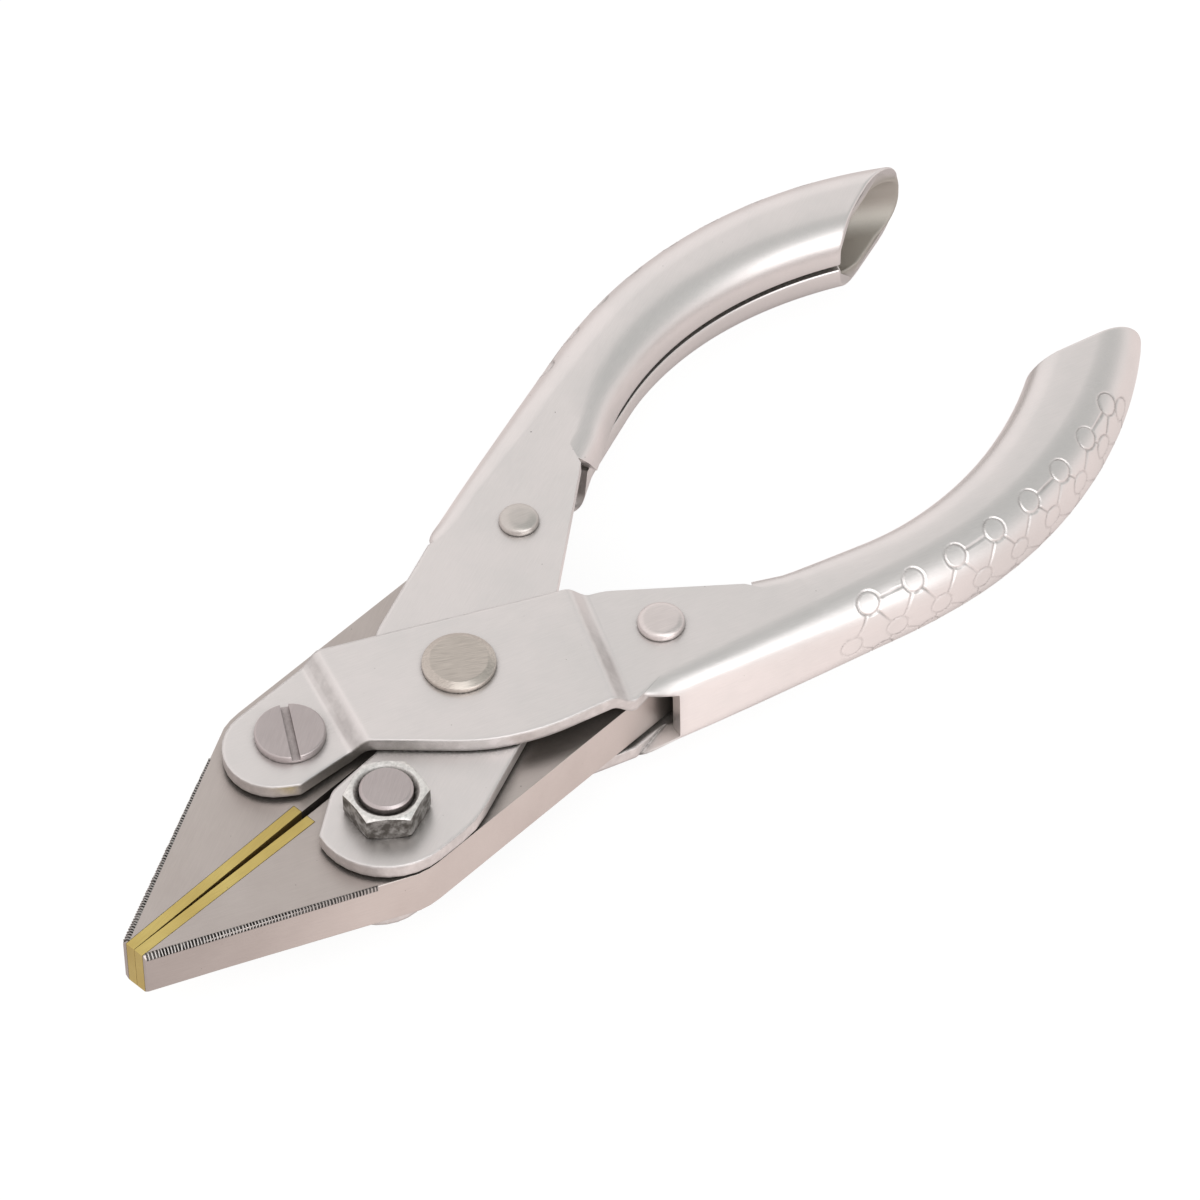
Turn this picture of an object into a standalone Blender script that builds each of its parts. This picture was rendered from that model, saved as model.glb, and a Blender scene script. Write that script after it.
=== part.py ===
"""Parallel-action flat nose pliers with brass-lined jaws.

Two folded sheet-steel handles cross on one rivet. Each handle carries a jaw on a shoulder bolt
at its front, and steers the other jaw with a guide rivet that runs in a slot in that jaw's tail,
so both jaws stay parallel as the handles open.

The tool is the same when it is turned half a turn about its long axis: every piece of the second
half is the first half's piece turned that way. X runs from the nose to the grips, Z along the
pivots, and z = 0 of the design is the middle of the jaws. Sizes are in millimetres, and MM turns
them into metres.

Run it with: blender --background --python part.py
"""

import math

import bmesh
import bpy
from mathutils import Matrix, Vector

MM = 0.001

# Linkage, seen from above, with the main rivet at the origin. It is the left handle's: its front
# pivot hangs the right jaw, and its guide rivet steers the left jaw.
FRONT_PIVOT = Vector((-18.9, 7.5))
GUIDE_PIVOT = Vector((20.7, -11.0))
HALF_OPENING = math.radians(17.0)  # how far each handle swings from the closed position

# Jaws and their liners
JAW_THICKNESS = 6.3
NOSE_TIP_X = -50.3
NOSE_TIP_HALF_WIDTH = 1.75
SHOULDER_X = -21.2
JAW_HALF_WIDTH = 15.5
SHOULDER_RADIUS = 9.0  # between the nose's flank and the jaw's side
NOSE_CHAMFER = 0.45
RECESS_CLEARANCE = 2.3  # around the main rivet's shoulder
TAIL_CORNER = 1.5
TAIL_END_WALL = 3.4
TAIL_CUT_LENGTH = 4.6  # of its inner corner, cut off slantwise
TAIL_CUT_WIDTH = 3.2
LINER_LENGTH = 26.0
LINER_THICKNESS = 1.25
TIP_GAP = 0.04  # between the closed liners at the tip
HEEL_GAP = 0.8  # between them at the heel, so that the tips bite first

# Handles
SHEET = 1.7
JAW_CLEARANCE = 0.5  # jaw face to the inner ear
EAR_CLEARANCE = 0.25  # inner ear to the outer ear that crosses it
FRONT_STANDOFF = 0.6  # outer ear's front end to the jaw face
FRONT_RAMP_LENGTH = 2.6  # of the outer ear's step down towards the bolt
FRONT_SEAT_MARGIN = 0.78  # from that step to the bolt's head
REAR_RAMP_LENGTH = 2.8  # of its step down towards the guide rivet
REAR_SEAT_MARGIN = 3.59  # from that step to the guide rivet's head
MOUTH_LENGTH = 5.0  # how far the folds run on ahead of the outer wall, dying out into the ears
MOUTH_CLEARANCE = 0.35  # from the jaw's faces to the edges of the mouth
MOUTH_EDGE = 0.6  # from the outer wall's face in to the edge of the outer ear
MOUTH_TO_GUIDE = 5.1  # how far the guide rivet stands behind the outer wall's front end
TAIL_CLEARANCE = 1.5  # from a closed jaw's tail to the outer wall
FLARE_ANGLE = math.radians(-18.0)
FLARE_LENGTH = 28.3
GRIP_RADIUS = 54.0
GRIP_SWEEP = math.radians(55.2)
GRIP_WIDTH = 10.0
GRIP_END_WIDTH = 11.9
MOUTH_BEND = 0.1  # inside radius of the folds where they start
BACK_BEND = 0.9  # and where the outer wall begins
BACK_BEND_IN_GRIP = 3.0
LIP_BEND = 0.4
LIP_BEND_IN_GRIP = 1.9
SEAM_GAP = 0.7
LIP_START = 14.0  # along the channel from its mouth
LIP_SPREAD = 1.7  # how much wider the channel is there, on the inner ear's side
LIP_SPREAD_END = 27.0
TOP_LIP_SPREAD = 0.8  # and on the outer ear's side
TOP_LIP_SPREAD_END = 19.0
LIP_SLANT = 3.2  # how far the front ends of the lips are cut back at the seam
LIP_SLANT_END = 30.0
MORPH_LENGTH = 36.0  # along the channel until its bends have their full radius
END_SLANT = 11.2  # how much longer the back is than the lips
END_CURVE = 1.08  # power that the slant follows across the grip: 1 is straight
END_CURVE_TOP = 0.17  # more on the outer ear's side, and less on the other
TOP_EAR_SHOULDER = Vector((8.8, 6.0))  # corners of the outer ears, from the bolt
BOTTOM_EAR_SHOULDER = Vector((8.0, 4.4))
TOP_EAR_CROSSING = Vector((-0.8, 7.9))  # and from the guide rivet
BOTTOM_EAR_CROSSING = Vector((-1.2, 5.8))
EAR_SWEEP_RADIUS = 6.0  # where an ear's front edge turns towards the mouth
EAR_INSET = 0.3  # from the start of a fold's curve to the plate of an ear
EAR_REAR_INSET = 1.4
EAR_REAR_MARGIN = 2.4  # how far the plates run on past the lips' front ends
LIP_END_INSET = 0.6  # from the lips' front ends to the ears' corners there
LIP_SIDE_INSET = 0.4
LIP_END_SLOPE = 2.0  # how far those corners are cut back along the lips

# Main rivet
RIVET_NECK_RADIUS = 3.0
RIVET_SHOULDER_WIDTH = 1.0  # around the neck
RIVET_HEAD_WIDTH = 1.15
RIVET_HEAD_HEIGHT = 1.1
RIVET_CHAMFER_WIDTH = 0.82
RIVET_CHAMFER_HEIGHT = 0.49

# Guide rivets
GUIDE_RADIUS = 2.2
GUIDE_NECK_STEP = 0.5  # how much thinner the ends are where they pass through the ears
GUIDE_HEAD_WIDTH = 0.45  # beyond the guide's radius
GUIDE_PEEN_WIDTH = 0.05
GUIDE_HEAD_HEIGHT = 1.05
GUIDE_HEAD_FLAT = 0.72  # share of the head's radius that is flat on top
GUIDE_PEEN_FLAT = 0.45
GUIDE_EDGE_HEIGHT = 0.47  # of the heads' upright rims
SLOT_CLEARANCE = 0.2

# Shoulder bolts and nuts
BOLT_RADIUS = 3.0
BOLT_HEAD_WIDTH = 0.95  # around the shank
BOLT_HEAD_HEIGHT = 1.0
BOLT_HEAD_CHAMFER = 0.15
BOLT_END_CHAMFER = 0.3
BOLT_END_STICKOUT = 0.55
DRIVER_SLOT_WIDTH = 0.95
DRIVER_SLOT_DEPTH = 0.6
DRIVER_SLOT_ANGLE = math.radians(55.0)
NUT_WALL = 1.15  # from the shank to a flat
NUT_HEIGHT = 3.2
NUT_ANGLE = math.radians(42.0)
NUT_CHAMFER_ANGLE = math.radians(30.0)
NUT_COUNTERSINK = 0.6

PIVOT_CLEARANCE = 0.15  # around a shank or a neck
HEAD_CLEARANCE = 0.03  # under a head or a nut

# Levels, up from the middle of the jaws
JAW_FACE = JAW_THICKNESS / 2
INNER_EAR_LOW = JAW_FACE + JAW_CLEARANCE
INNER_EAR_TOP = INNER_EAR_LOW + SHEET
OUTER_EAR_LOW = INNER_EAR_TOP + EAR_CLEARANCE
OUTER_EAR_TOP = OUTER_EAR_LOW + SHEET
FRONT_EAR_LOW = JAW_FACE + FRONT_STANDOFF
FRONT_EAR_TOP = FRONT_EAR_LOW + SHEET

# Sizes that follow from those above
BACK_RADIUS = BACK_BEND + SHEET
LIP_RADIUS = LIP_BEND + SHEET
RIVET_SHOULDER_RADIUS = RIVET_NECK_RADIUS + RIVET_SHOULDER_WIDTH
RIVET_RECESS_RADIUS = RIVET_SHOULDER_RADIUS + RECESS_CLEARANCE
RIVET_HEAD_RADIUS = RIVET_NECK_RADIUS + RIVET_HEAD_WIDTH
GUIDE_NECK_RADIUS = GUIDE_RADIUS - GUIDE_NECK_STEP
GUIDE_HEAD_RADIUS = GUIDE_RADIUS + GUIDE_HEAD_WIDTH
GUIDE_PEEN_RADIUS = GUIDE_RADIUS + GUIDE_PEEN_WIDTH
SLOT_RADIUS = GUIDE_RADIUS + SLOT_CLEARANCE
BOLT_HEAD_RADIUS = BOLT_RADIUS + BOLT_HEAD_WIDTH
NUT_FLAT_RADIUS = BOLT_RADIUS + NUT_WALL
CHANNEL_LENGTH = FLARE_LENGTH + GRIP_RADIUS * GRIP_SWEEP
OUTER_WALL = JAW_HALF_WIDTH + TAIL_CLEARANCE + SHEET
MOUTH_START = Vector((GUIDE_PIVOT.x - MOUTH_TO_GUIDE, -OUTER_WALL))  # outer wall's front end
FRONT_RAMP_END = FRONT_PIVOT.length - BOLT_HEAD_RADIUS - FRONT_SEAT_MARGIN
REAR_RAMP_END = GUIDE_PIVOT.length - GUIDE_HEAD_RADIUS - REAR_SEAT_MARGIN

HALF_TURN = Matrix.Rotation(math.pi, 4, "X")
ROUND_SEGMENTS = 36
ARC_STEP = math.radians(12.0)
RAMP_STEPS = 6
SHARP_ANGLE = math.radians(32.0)
OVERRUN = 1.0  # how far a cutter passes what it cuts
NEAR = 0.001


# Plane geometry


def flipped(point):
    """The point's place on the other half of the tool."""
    return Vector((point.x, -point.y))


def turned(vector, angle):
    """The plane vector turned counterclockwise."""
    cos, sin = math.cos(angle), math.sin(angle)
    return Vector((vector.x * cos - vector.y * sin, vector.x * sin + vector.y * cos))


def smooth_step(value, low, high):
    """0 up to low, 1 from high on, and a smooth rise between."""
    share = min(max((value - low) / (high - low), 0.0), 1.0)
    return share * share * (3.0 - 2.0 * share)


def filleted(corners):
    """Outline through (point, radius) corners, counterclockwise, each rounded to its radius."""
    outline = []
    for index, (corner, radius) in enumerate(corners):
        before = (corners[index - 1][0] - corner).normalized()
        after = (corners[(index + 1) % len(corners)][0] - corner).normalized()
        half = before.angle(after) / 2
        if radius == 0 or half > math.radians(89.5):
            outline.append(corner.copy())
            continue
        reach = min(
            radius / math.tan(half),
            0.499 * (corners[index - 1][0] - corner).length,
            0.499 * (corners[(index + 1) % len(corners)][0] - corner).length,
        )
        radius = reach * math.tan(half)
        centre = corner + (before + after).normalized() * (radius / math.sin(half))
        start = corner + before * reach - centre
        sweep = (corner + before * reach - centre).angle_signed(corner + after * reach - centre)
        steps = max(2, math.ceil(abs(sweep) / ARC_STEP))
        for step in range(steps + 1):
            outline.append(centre + turned(start, -sweep * step / steps))
    return outline


def arc_points(centre, radius, start, end):
    """Points of an arc from the start angle to the end angle, both ends included."""
    steps = max(2, math.ceil(abs(end - start) / ARC_STEP))
    return [
        centre + turned(Vector((radius, 0.0)), start + (end - start) * step / steps)
        for step in range(steps + 1)
    ]


# Solids


def mesh_of(shape, name):
    """Mesh data of a bmesh in millimetres, with outward faces, in metres."""
    bmesh.ops.recalc_face_normals(shape, faces=shape.faces)
    bmesh.ops.scale(shape, vec=(MM, MM, MM), verts=shape.verts)
    mesh = bpy.data.meshes.new(name)
    shape.to_mesh(mesh)
    shape.free()
    return mesh


def prism(outline, low, high):
    """A flat plate: the outline raised from the low level to the high one."""
    shape = bmesh.new()
    bottom = shape.faces.new([shape.verts.new((point.x, point.y, low)) for point in outline])
    raised = bmesh.ops.extrude_face_region(shape, geom=[bottom])["geom"]
    top = [item for item in raised if isinstance(item, bmesh.types.BMVert)]
    bmesh.ops.translate(shape, verts=top, vec=(0.0, 0.0, high - low))
    return shape


def turned_solid(profile, centre=Vector((0.0, 0.0))):
    """A solid of revolution about Z: the profile is (radius, height) points, poles at both ends."""
    segments = ROUND_SEGMENTS
    shape = bmesh.new()
    rings = []
    for radius, height in profile:
        around = segments if radius > 0 else 1
        rings.append(
            [
                shape.verts.new(
                    (
                        centre.x + radius * math.cos(math.tau * step / segments),
                        centre.y + radius * math.sin(math.tau * step / segments),
                        height,
                    )
                )
                for step in range(around)
            ]
        )
    for lower, upper in zip(rings, rings[1:]):
        for step in range(segments):
            following = (step + 1) % segments
            corners = [
                lower[step % len(lower)],
                lower[following % len(lower)],
                upper[following % len(upper)],
                upper[step % len(upper)],
            ]
            face = list(dict.fromkeys(corners))
            if len(face) > 2:
                shape.faces.new(face)
    return shape


def together(shapes):
    """Shapes that don't touch each other, as one."""
    joined = bmesh.new()
    for shape in shapes:
        mesh = bpy.data.meshes.new("shape")
        shape.to_mesh(mesh)
        shape.free()
        joined.from_mesh(mesh)
        bpy.data.meshes.remove(mesh)
    return joined


def drill(centre, radius, low, high):
    """A round cutter."""
    return turned_solid([(0, low), (radius, low), (radius, high), (0, high)], centre)


def combined(base, operations, name):
    """The base shape after each (operation, shape), as one mesh."""
    scene = bpy.context.scene.collection
    target = bpy.data.objects.new(name, mesh_of(base, name))
    scene.objects.link(target)
    helpers = []
    for operation, shape in operations:
        helper = bpy.data.objects.new(name + "_tool", mesh_of(shape, name + "_tool"))
        scene.objects.link(helper)
        modifier = target.modifiers.new(operation.lower(), "BOOLEAN")
        modifier.operation = operation
        modifier.solver = "EXACT"
        modifier.object = helper
        helpers.append(helper)
    graph = bpy.context.evaluated_depsgraph_get()
    result = bpy.data.meshes.new_from_object(target.evaluated_get(graph))
    for helper in [*helpers, target]:
        data = helper.data
        bpy.data.objects.remove(helper)
        bpy.data.meshes.remove(data)
    result.name = name
    close_slits(result)
    return result


def close_slits(mesh):
    """Fills the three-sided slits of no width that a union leaves between faces in one plane."""
    shape = bmesh.new()
    shape.from_mesh(mesh)
    slits = [edge for edge in shape.edges if edge.is_boundary]
    bmesh.ops.holes_fill(shape, edges=slits, sides=3)
    shape.to_mesh(mesh)
    shape.free()


# Jaw


def guide_in_jaw(angle):
    """The guide rivet's place in the right jaw's frame, from its pivot, with the handles open."""
    front = turned(FRONT_PIVOT, -angle)
    guide = flipped(turned(GUIDE_PIVOT, -angle))
    return guide - front


def slot_outline():
    """The slot in the tail: straight between the guide's end positions, with round ends."""
    rear = FRONT_PIVOT + guide_in_jaw(0.0)
    front = FRONT_PIVOT + guide_in_jaw(HALF_OPENING)
    middle = FRONT_PIVOT + guide_in_jaw(HALF_OPENING / 2)
    run = (rear - front).normalized()
    side = Vector((-run.y, run.x))
    lift = side * (side.dot(middle - front) / 2)  # halves the bow of the guide's path
    heading = math.atan2(run.y, run.x)
    quarter = math.pi / 2
    return [
        *arc_points(rear + lift, SLOT_RADIUS, heading - quarter, heading + quarter),
        *arc_points(front + lift, SLOT_RADIUS, heading + quarter, heading + 3 * quarter),
    ]


def toe_line(x):
    """Half the gap between the closed jaws at x: it widens from the tip to the liner's heel."""
    share = min((x - NOSE_TIP_X) / LINER_LENGTH, 1.0)
    return (TIP_GAP + (HEEL_GAP - TIP_GAP) * share) / 2


def jaw_mesh():
    """The right jaw about its pivot: nose, shoulder, recess for the main rivet and slotted tail."""
    heel_x = NOSE_TIP_X + LINER_LENGTH
    inner = toe_line(heel_x)
    guide = FRONT_PIVOT + guide_in_jaw(0.0)
    tail_end = guide.x + SLOT_RADIUS + TAIL_END_WALL
    tip = Vector((NOSE_TIP_X, NOSE_TIP_HALF_WIDTH))
    recess_start = math.pi - math.asin(inner / RIVET_RECESS_RADIUS)
    outline = [
        Vector((NOSE_TIP_X, toe_line(NOSE_TIP_X) + LINER_THICKNESS)),
        Vector((heel_x, inner + LINER_THICKNESS)),
        Vector((heel_x, inner)),
        *arc_points(Vector((0.0, 0.0)), RIVET_RECESS_RADIUS, recess_start, math.pi / 2),
    ]
    tail = filleted(
        [
            (Vector((0.0, RIVET_RECESS_RADIUS)), 0),
            (Vector((tail_end - TAIL_CUT_LENGTH, RIVET_RECESS_RADIUS)), TAIL_CORNER),
            (Vector((tail_end, RIVET_RECESS_RADIUS + TAIL_CUT_WIDTH)), TAIL_CORNER),
            (Vector((tail_end, JAW_HALF_WIDTH)), TAIL_CORNER),
            (Vector((SHOULDER_X, JAW_HALF_WIDTH)), SHOULDER_RADIUS),
            (tip, 0),
        ]
    )
    outline += tail[1:]
    blank = prism(outline, -JAW_FACE, JAW_FACE)
    flank = Vector((SHOULDER_X, JAW_HALF_WIDTH)) - tip
    across = turned(flank, math.pi / 2).normalized()
    flank_edges = []
    for edge in blank.edges:
        first, second = (vert.co for vert in edge.verts)
        level = abs(first.z - second.z) < NEAR
        if level and all(abs((end.xy - tip).dot(across)) < NEAR for end in (first, second)):
            flank_edges.append(edge)
    bmesh.ops.bevel(blank, geom=flank_edges, offset=NOSE_CHAMFER, segments=1, affect="EDGES")
    deep = JAW_THICKNESS
    hole = drill(FRONT_PIVOT, BOLT_RADIUS + PIVOT_CLEARANCE, -deep, deep)
    slot = prism(slot_outline(), -deep, deep)
    mesh = combined(blank, [("DIFFERENCE", together([hole, slot]))], "jaw")
    mesh.transform(Matrix.Translation((-FRONT_PIVOT * MM).to_3d()))
    return mesh


def liner_mesh():
    """The brass strip let into the right jaw's rebate, about the jaw's pivot."""
    heel_x = NOSE_TIP_X + LINER_LENGTH - HEAD_CLEARANCE
    tip, heel = toe_line(NOSE_TIP_X), toe_line(heel_x)
    outline = [
        Vector((NOSE_TIP_X, tip)),
        Vector((heel_x, heel)),
        Vector((heel_x, heel + LINER_THICKNESS - HEAD_CLEARANCE)),
        Vector((NOSE_TIP_X, tip + LINER_THICKNESS - HEAD_CLEARANCE)),
    ]
    mesh = mesh_of(prism(outline, -JAW_FACE, JAW_FACE), "liner")
    mesh.transform(Matrix.Translation((-FRONT_PIVOT * MM).to_3d()))
    return mesh


# Handle


def channel_line(along):
    """A place on the channel's outer wall and the direction in from it, at a length from the mouth."""
    if along <= FLARE_LENGTH:
        heading = FLARE_ANGLE
        place = MOUTH_START + turned(Vector((along, 0.0)), heading)
    else:
        bend = (along - FLARE_LENGTH) / GRIP_RADIUS
        heading = FLARE_ANGLE + bend
        start = MOUTH_START + turned(Vector((FLARE_LENGTH, 0.0)), FLARE_ANGLE)
        chord = 2 * GRIP_RADIUS * math.sin(bend / 2)
        place = start + turned(Vector((chord, 0.0)), FLARE_ANGLE + bend / 2)
    return place, turned(Vector((0.0, 1.0)), heading)


def channel_point(along, inward):
    """A plan point of the channel: a length from the mouth, and a depth in from its outer wall."""
    place, inward_direction = channel_line(along)
    return place + inward_direction * inward


def ear_outline(front, waist, middle_reach, mouth_edge, spread, rear):
    """Plan of one ear of the left handle, counterclockwise from its front corner by the nose.

    The front corners surround the bolt, the waist and the middle ones the main rivet, and the
    rear ones end inside the channel's flat top.
    """
    lip_edge = GRIP_WIDTH - LIP_RADIUS - EAR_INSET
    rear_along = LIP_START + EAR_REAR_MARGIN
    lip_along = LIP_START - LIP_END_INSET
    corners = [
        *front,
        *waist,
        (middle_reach, EAR_SWEEP_RADIUS),
        (channel_point(-MOUTH_LENGTH, mouth_edge), 0),
        (channel_point(0.0, BACK_RADIUS + EAR_INSET), 0),
        (channel_point(rear_along, BACK_RADIUS + EAR_REAR_INSET), 0),
        (channel_point(rear_along, lip_edge), 0),
        (channel_point(lip_along + LIP_END_SLOPE, lip_edge + 0.8 * spread), 0),
        (channel_point(lip_along, GRIP_WIDTH + spread - LIP_SIDE_INSET), 0),
        *rear,
    ]
    return filleted(corners)


def round_front(centre, radius, start, end):
    """Corners of an ear's round front, from the start angle to the end angle in degrees."""
    points = arc_points(centre, radius, math.radians(start), math.radians(end))
    return [(point, 0) for point in points]


def outer_ear_outline(shoulder, crossing):
    """The ear that crosses over the other handle.

    The shoulder is its corner beside the bolt, and the crossing its corner beside the guide.
    """
    bolt = FRONT_PIVOT
    return ear_outline(
        front=round_front(bolt + Vector((-2.1, 0.2)), 5.9, 90.0, 234.0)
        + [(bolt + Vector((-4.1, -5.7)), 1.0)],
        waist=[(bolt + Vector((3.2, -6.4)), 2.5)],
        middle_reach=Vector((-3.7, -12.1)),
        mouth_edge=MOUTH_EDGE,
        spread=0.0,
        rear=[(GUIDE_PIVOT + crossing, 6.0), (bolt + shoulder, 4.0)],
    )


def inner_ear_outline():
    """The ear that lies on the jaws."""
    bolt = FRONT_PIVOT
    return ear_outline(
        front=round_front(bolt, 8.2, 90.0, 200.0) + [(bolt + Vector((-2.4, -6.2)), 3.0)],
        waist=[(bolt + Vector((5.8, -6.6)), 3.0)],
        middle_reach=Vector((-2.2, -11.1)),
        mouth_edge=2 * MOUTH_EDGE,
        spread=LIP_SPREAD,
        rear=[(Vector((0.4, 10.6)), 6.0), (bolt + Vector((5.6, 8.25)), 12.0)],
    )


def outer_ear_level(point):
    """Underside of the outer ear: high over the other handle, lower at the bolt and at the guide."""
    to_bolt = point.dot(FRONT_PIVOT.normalized())
    to_guide = point.dot(GUIDE_PIVOT.normalized())
    front = smooth_step(to_bolt, FRONT_RAMP_END - FRONT_RAMP_LENGTH, FRONT_RAMP_END)
    rear = smooth_step(to_guide, REAR_RAMP_END - REAR_RAMP_LENGTH, REAR_RAMP_END)
    level = OUTER_EAR_LOW - (OUTER_EAR_LOW - FRONT_EAR_LOW) * front
    return level - (OUTER_EAR_LOW - INNER_EAR_LOW) * rear


def outer_ear(shoulder, crossing):
    """The outer ear: its plate is cut across at the bends, then stepped to its levels."""
    plate = prism(outer_ear_outline(shoulder, crossing), 0.0, SHEET)
    ramps = (
        (FRONT_PIVOT.normalized(), FRONT_RAMP_END, FRONT_RAMP_LENGTH),
        (GUIDE_PIVOT.normalized(), REAR_RAMP_END, REAR_RAMP_LENGTH),
    )
    for direction, ramp_end, ramp_length in ramps:
        for step in range(RAMP_STEPS + 1):
            reach = ramp_end - ramp_length * step / RAMP_STEPS
            bmesh.ops.bisect_plane(
                plate,
                geom=[*plate.verts, *plate.edges, *plate.faces],
                plane_co=(direction * reach).to_3d(),
                plane_no=direction.to_3d(),
            )
    for vert in plate.verts:
        vert.co.z += outer_ear_level(vert.co.xy)
    return plate


def inner_ear():
    """The inner ear, on the underside of the left handle."""
    return prism(inner_ear_outline(), -INNER_EAR_TOP, -INNER_EAR_LOW)


def half_section(along, inset, spread, spread_end):
    """The upper half of one section of the channel, from its lip over to the middle of the back.

    Each point is (depth in from the outer wall, height); the inset moves it into the sheet, and
    the spread is how much wider the section is where the lips start, up to the spread's end.
    """
    started = smooth_step(along, -MOUTH_LENGTH, 0.0)
    grown = smooth_step(along, 0.0, MORPH_LENGTH)
    widened = smooth_step(along, FLARE_LENGTH, CHANNEL_LENGTH)
    width = GRIP_WIDTH + (GRIP_END_WIDTH - GRIP_WIDTH) * widened
    width += spread * (1.0 - smooth_step(along, LIP_START, spread_end))
    back = SHEET + MOUTH_BEND + (BACK_BEND - MOUTH_BEND) * started
    back += (BACK_BEND_IN_GRIP - BACK_BEND) * grown
    lip = LIP_RADIUS + (LIP_BEND_IN_GRIP - LIP_BEND) * grown
    height = INNER_EAR_TOP
    upper = [Vector((width - inset, SEAM_GAP / 2))]
    upper += arc_points(Vector((width - lip, height - lip)), lip - inset, 0.0, math.pi / 2)
    corner = Vector((back, height - back))
    upper += arc_points(corner, back - inset, math.pi / 2, math.pi)
    return upper


def section_points(along, inset):
    """One section of the channel, from its top lip over the back to its bottom lip."""
    upper = half_section(along, inset, TOP_LIP_SPREAD, TOP_LIP_SPREAD_END)
    lower = half_section(along, inset, LIP_SPREAD, LIP_SPREAD_END)
    return upper + [flipped(point) for point in reversed(lower)]


def channel():
    """The folded grip: a shell swept along the channel's line, with a slanted rear end.

    The lips that close the grip begin at LIP_START; ahead of them only the back is folded.
    """
    closed_length = CHANNEL_LENGTH - LIP_START
    ahead = [-MOUTH_LENGTH + (LIP_START + MOUTH_LENGTH) * step / 4 for step in range(4)]
    lengths = ahead + [LIP_START + closed_length * step / 18 for step in range(19)]
    shape = bmesh.new()
    rows = []
    lip_corners = len(arc_points(Vector((0.0, 0.0)), 1.0, 0.0, math.pi / 2))
    for along in lengths:
        count = len(section_points(along, 0.0))
        ahead_of_slant = 1.0 - smooth_step(along, LIP_START, LIP_SLANT_END)
        past = smooth_step(along, LIP_START, CHANNEL_LENGTH)
        row = []
        for index in range(count):
            outside = section_points(along, 0.0)[index]
            raised = outside.y / INNER_EAR_TOP
            depth_share = max(outside.x, 0.0) / GRIP_END_WIDTH
            curve = END_CURVE + END_CURVE_TOP * raised
            place = along - END_SLANT * past * depth_share**curve
            if min(index, count - 1 - index) < lip_corners:
                place += LIP_SLANT * (1.0 - abs(raised)) * ahead_of_slant
            for inset in (0.0, SHEET):
                point = section_points(place, inset)[index]
                plan = channel_point(place, point.x)
                row.append(shape.verts.new((plan.x, plan.y, point.y)))
        rows.append(row)
    cells = set()
    for i, along in enumerate(lengths[:-1]):
        spared = 0 if along > LIP_START - NEAR else lip_corners
        for j in range(spared, count - 1 - spared):
            cells.add((i, j))
    for i, j in cells:
        near, far = rows[i], rows[i + 1]
        outside = [near[2 * j], far[2 * j], far[2 * j + 2], near[2 * j + 2]]
        inside = [near[2 * j + 1], near[2 * j + 3], far[2 * j + 3], far[2 * j + 1]]
        shape.faces.new(outside)
        shape.faces.new(inside)
        rims = (
            ((i, j - 1), near, 2 * j, far, 2 * j),
            ((i, j + 1), near, 2 * j + 2, far, 2 * j + 2),
            ((i - 1, j), near, 2 * j, near, 2 * j + 2),
            ((i + 1, j), far, 2 * j, far, 2 * j + 2),
        )
        for neighbour, first_row, first, second_row, second in rims:
            if neighbour not in cells:
                shape.faces.new(
                    [
                        first_row[first],
                        second_row[second],
                        second_row[second + 1],
                        first_row[first + 1],
                    ]
                )
    loose = [vert for vert in shape.verts if not vert.link_faces]
    bmesh.ops.delete(shape, geom=loose, context="VERTS")
    return shape


def mouth_cutter():
    """What opens the channel's outer wall ahead of the mouth, for the other jaw's tail."""
    cutter = bmesh.new()
    for vert in bmesh.ops.create_cube(cutter, size=2.0)["verts"]:
        ahead, inward, up = vert.co
        plan = channel_point(min(ahead, 0.0) * (MOUTH_LENGTH + OVERRUN / 2), BACK_RADIUS * inward)
        half_height = JAW_FACE + MOUTH_CLEARANCE if ahead > 0 else INNER_EAR_TOP + EAR_CLEARANCE
        vert.co = (plan.x, plan.y, half_height * up)
    return cutter


def handle_mesh(shoulder, crossing):
    """A handle as the left one: outer ear on top, inner ear below, and the folded grip.

    The shoulder and the crossing are the outer ear's corners.
    """
    deep = 2 * OUTER_EAR_TOP
    cutters = [
        drill(Vector((0.0, 0.0)), RIVET_NECK_RADIUS + PIVOT_CLEARANCE, -deep, deep),
        drill(FRONT_PIVOT, BOLT_RADIUS + PIVOT_CLEARANCE, -deep, deep),
        drill(GUIDE_PIVOT, GUIDE_NECK_RADIUS + HEAD_CLEARANCE, -deep, deep),
    ]
    ears = together([outer_ear(shoulder, crossing), inner_ear()])
    operations = [
        ("DIFFERENCE", mouth_cutter()),
        ("UNION", ears),
        ("DIFFERENCE", together(cutters)),
    ]
    return combined(channel(), operations, "handle")


# Rivets, bolts and nuts


def main_rivet_mesh():
    """Shouldered rivet: the shoulder keeps the ears apart, a chamfered head closes each end."""
    shoulder = INNER_EAR_LOW - HEAD_CLEARANCE
    seat = OUTER_EAR_TOP + HEAD_CLEARANCE
    top = seat + RIVET_HEAD_HEIGHT
    upper = [
        (RIVET_SHOULDER_RADIUS, shoulder),
        (RIVET_NECK_RADIUS, shoulder),
        (RIVET_NECK_RADIUS, seat),
        (RIVET_HEAD_RADIUS, seat),
        (RIVET_HEAD_RADIUS, top - RIVET_CHAMFER_HEIGHT),
        (RIVET_HEAD_RADIUS - RIVET_CHAMFER_WIDTH, top),
        (0.0, top),
    ]
    lower = [(radius, -height) for radius, height in reversed(upper)]
    return mesh_of(turned_solid(lower + upper), "main_rivet")


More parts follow.
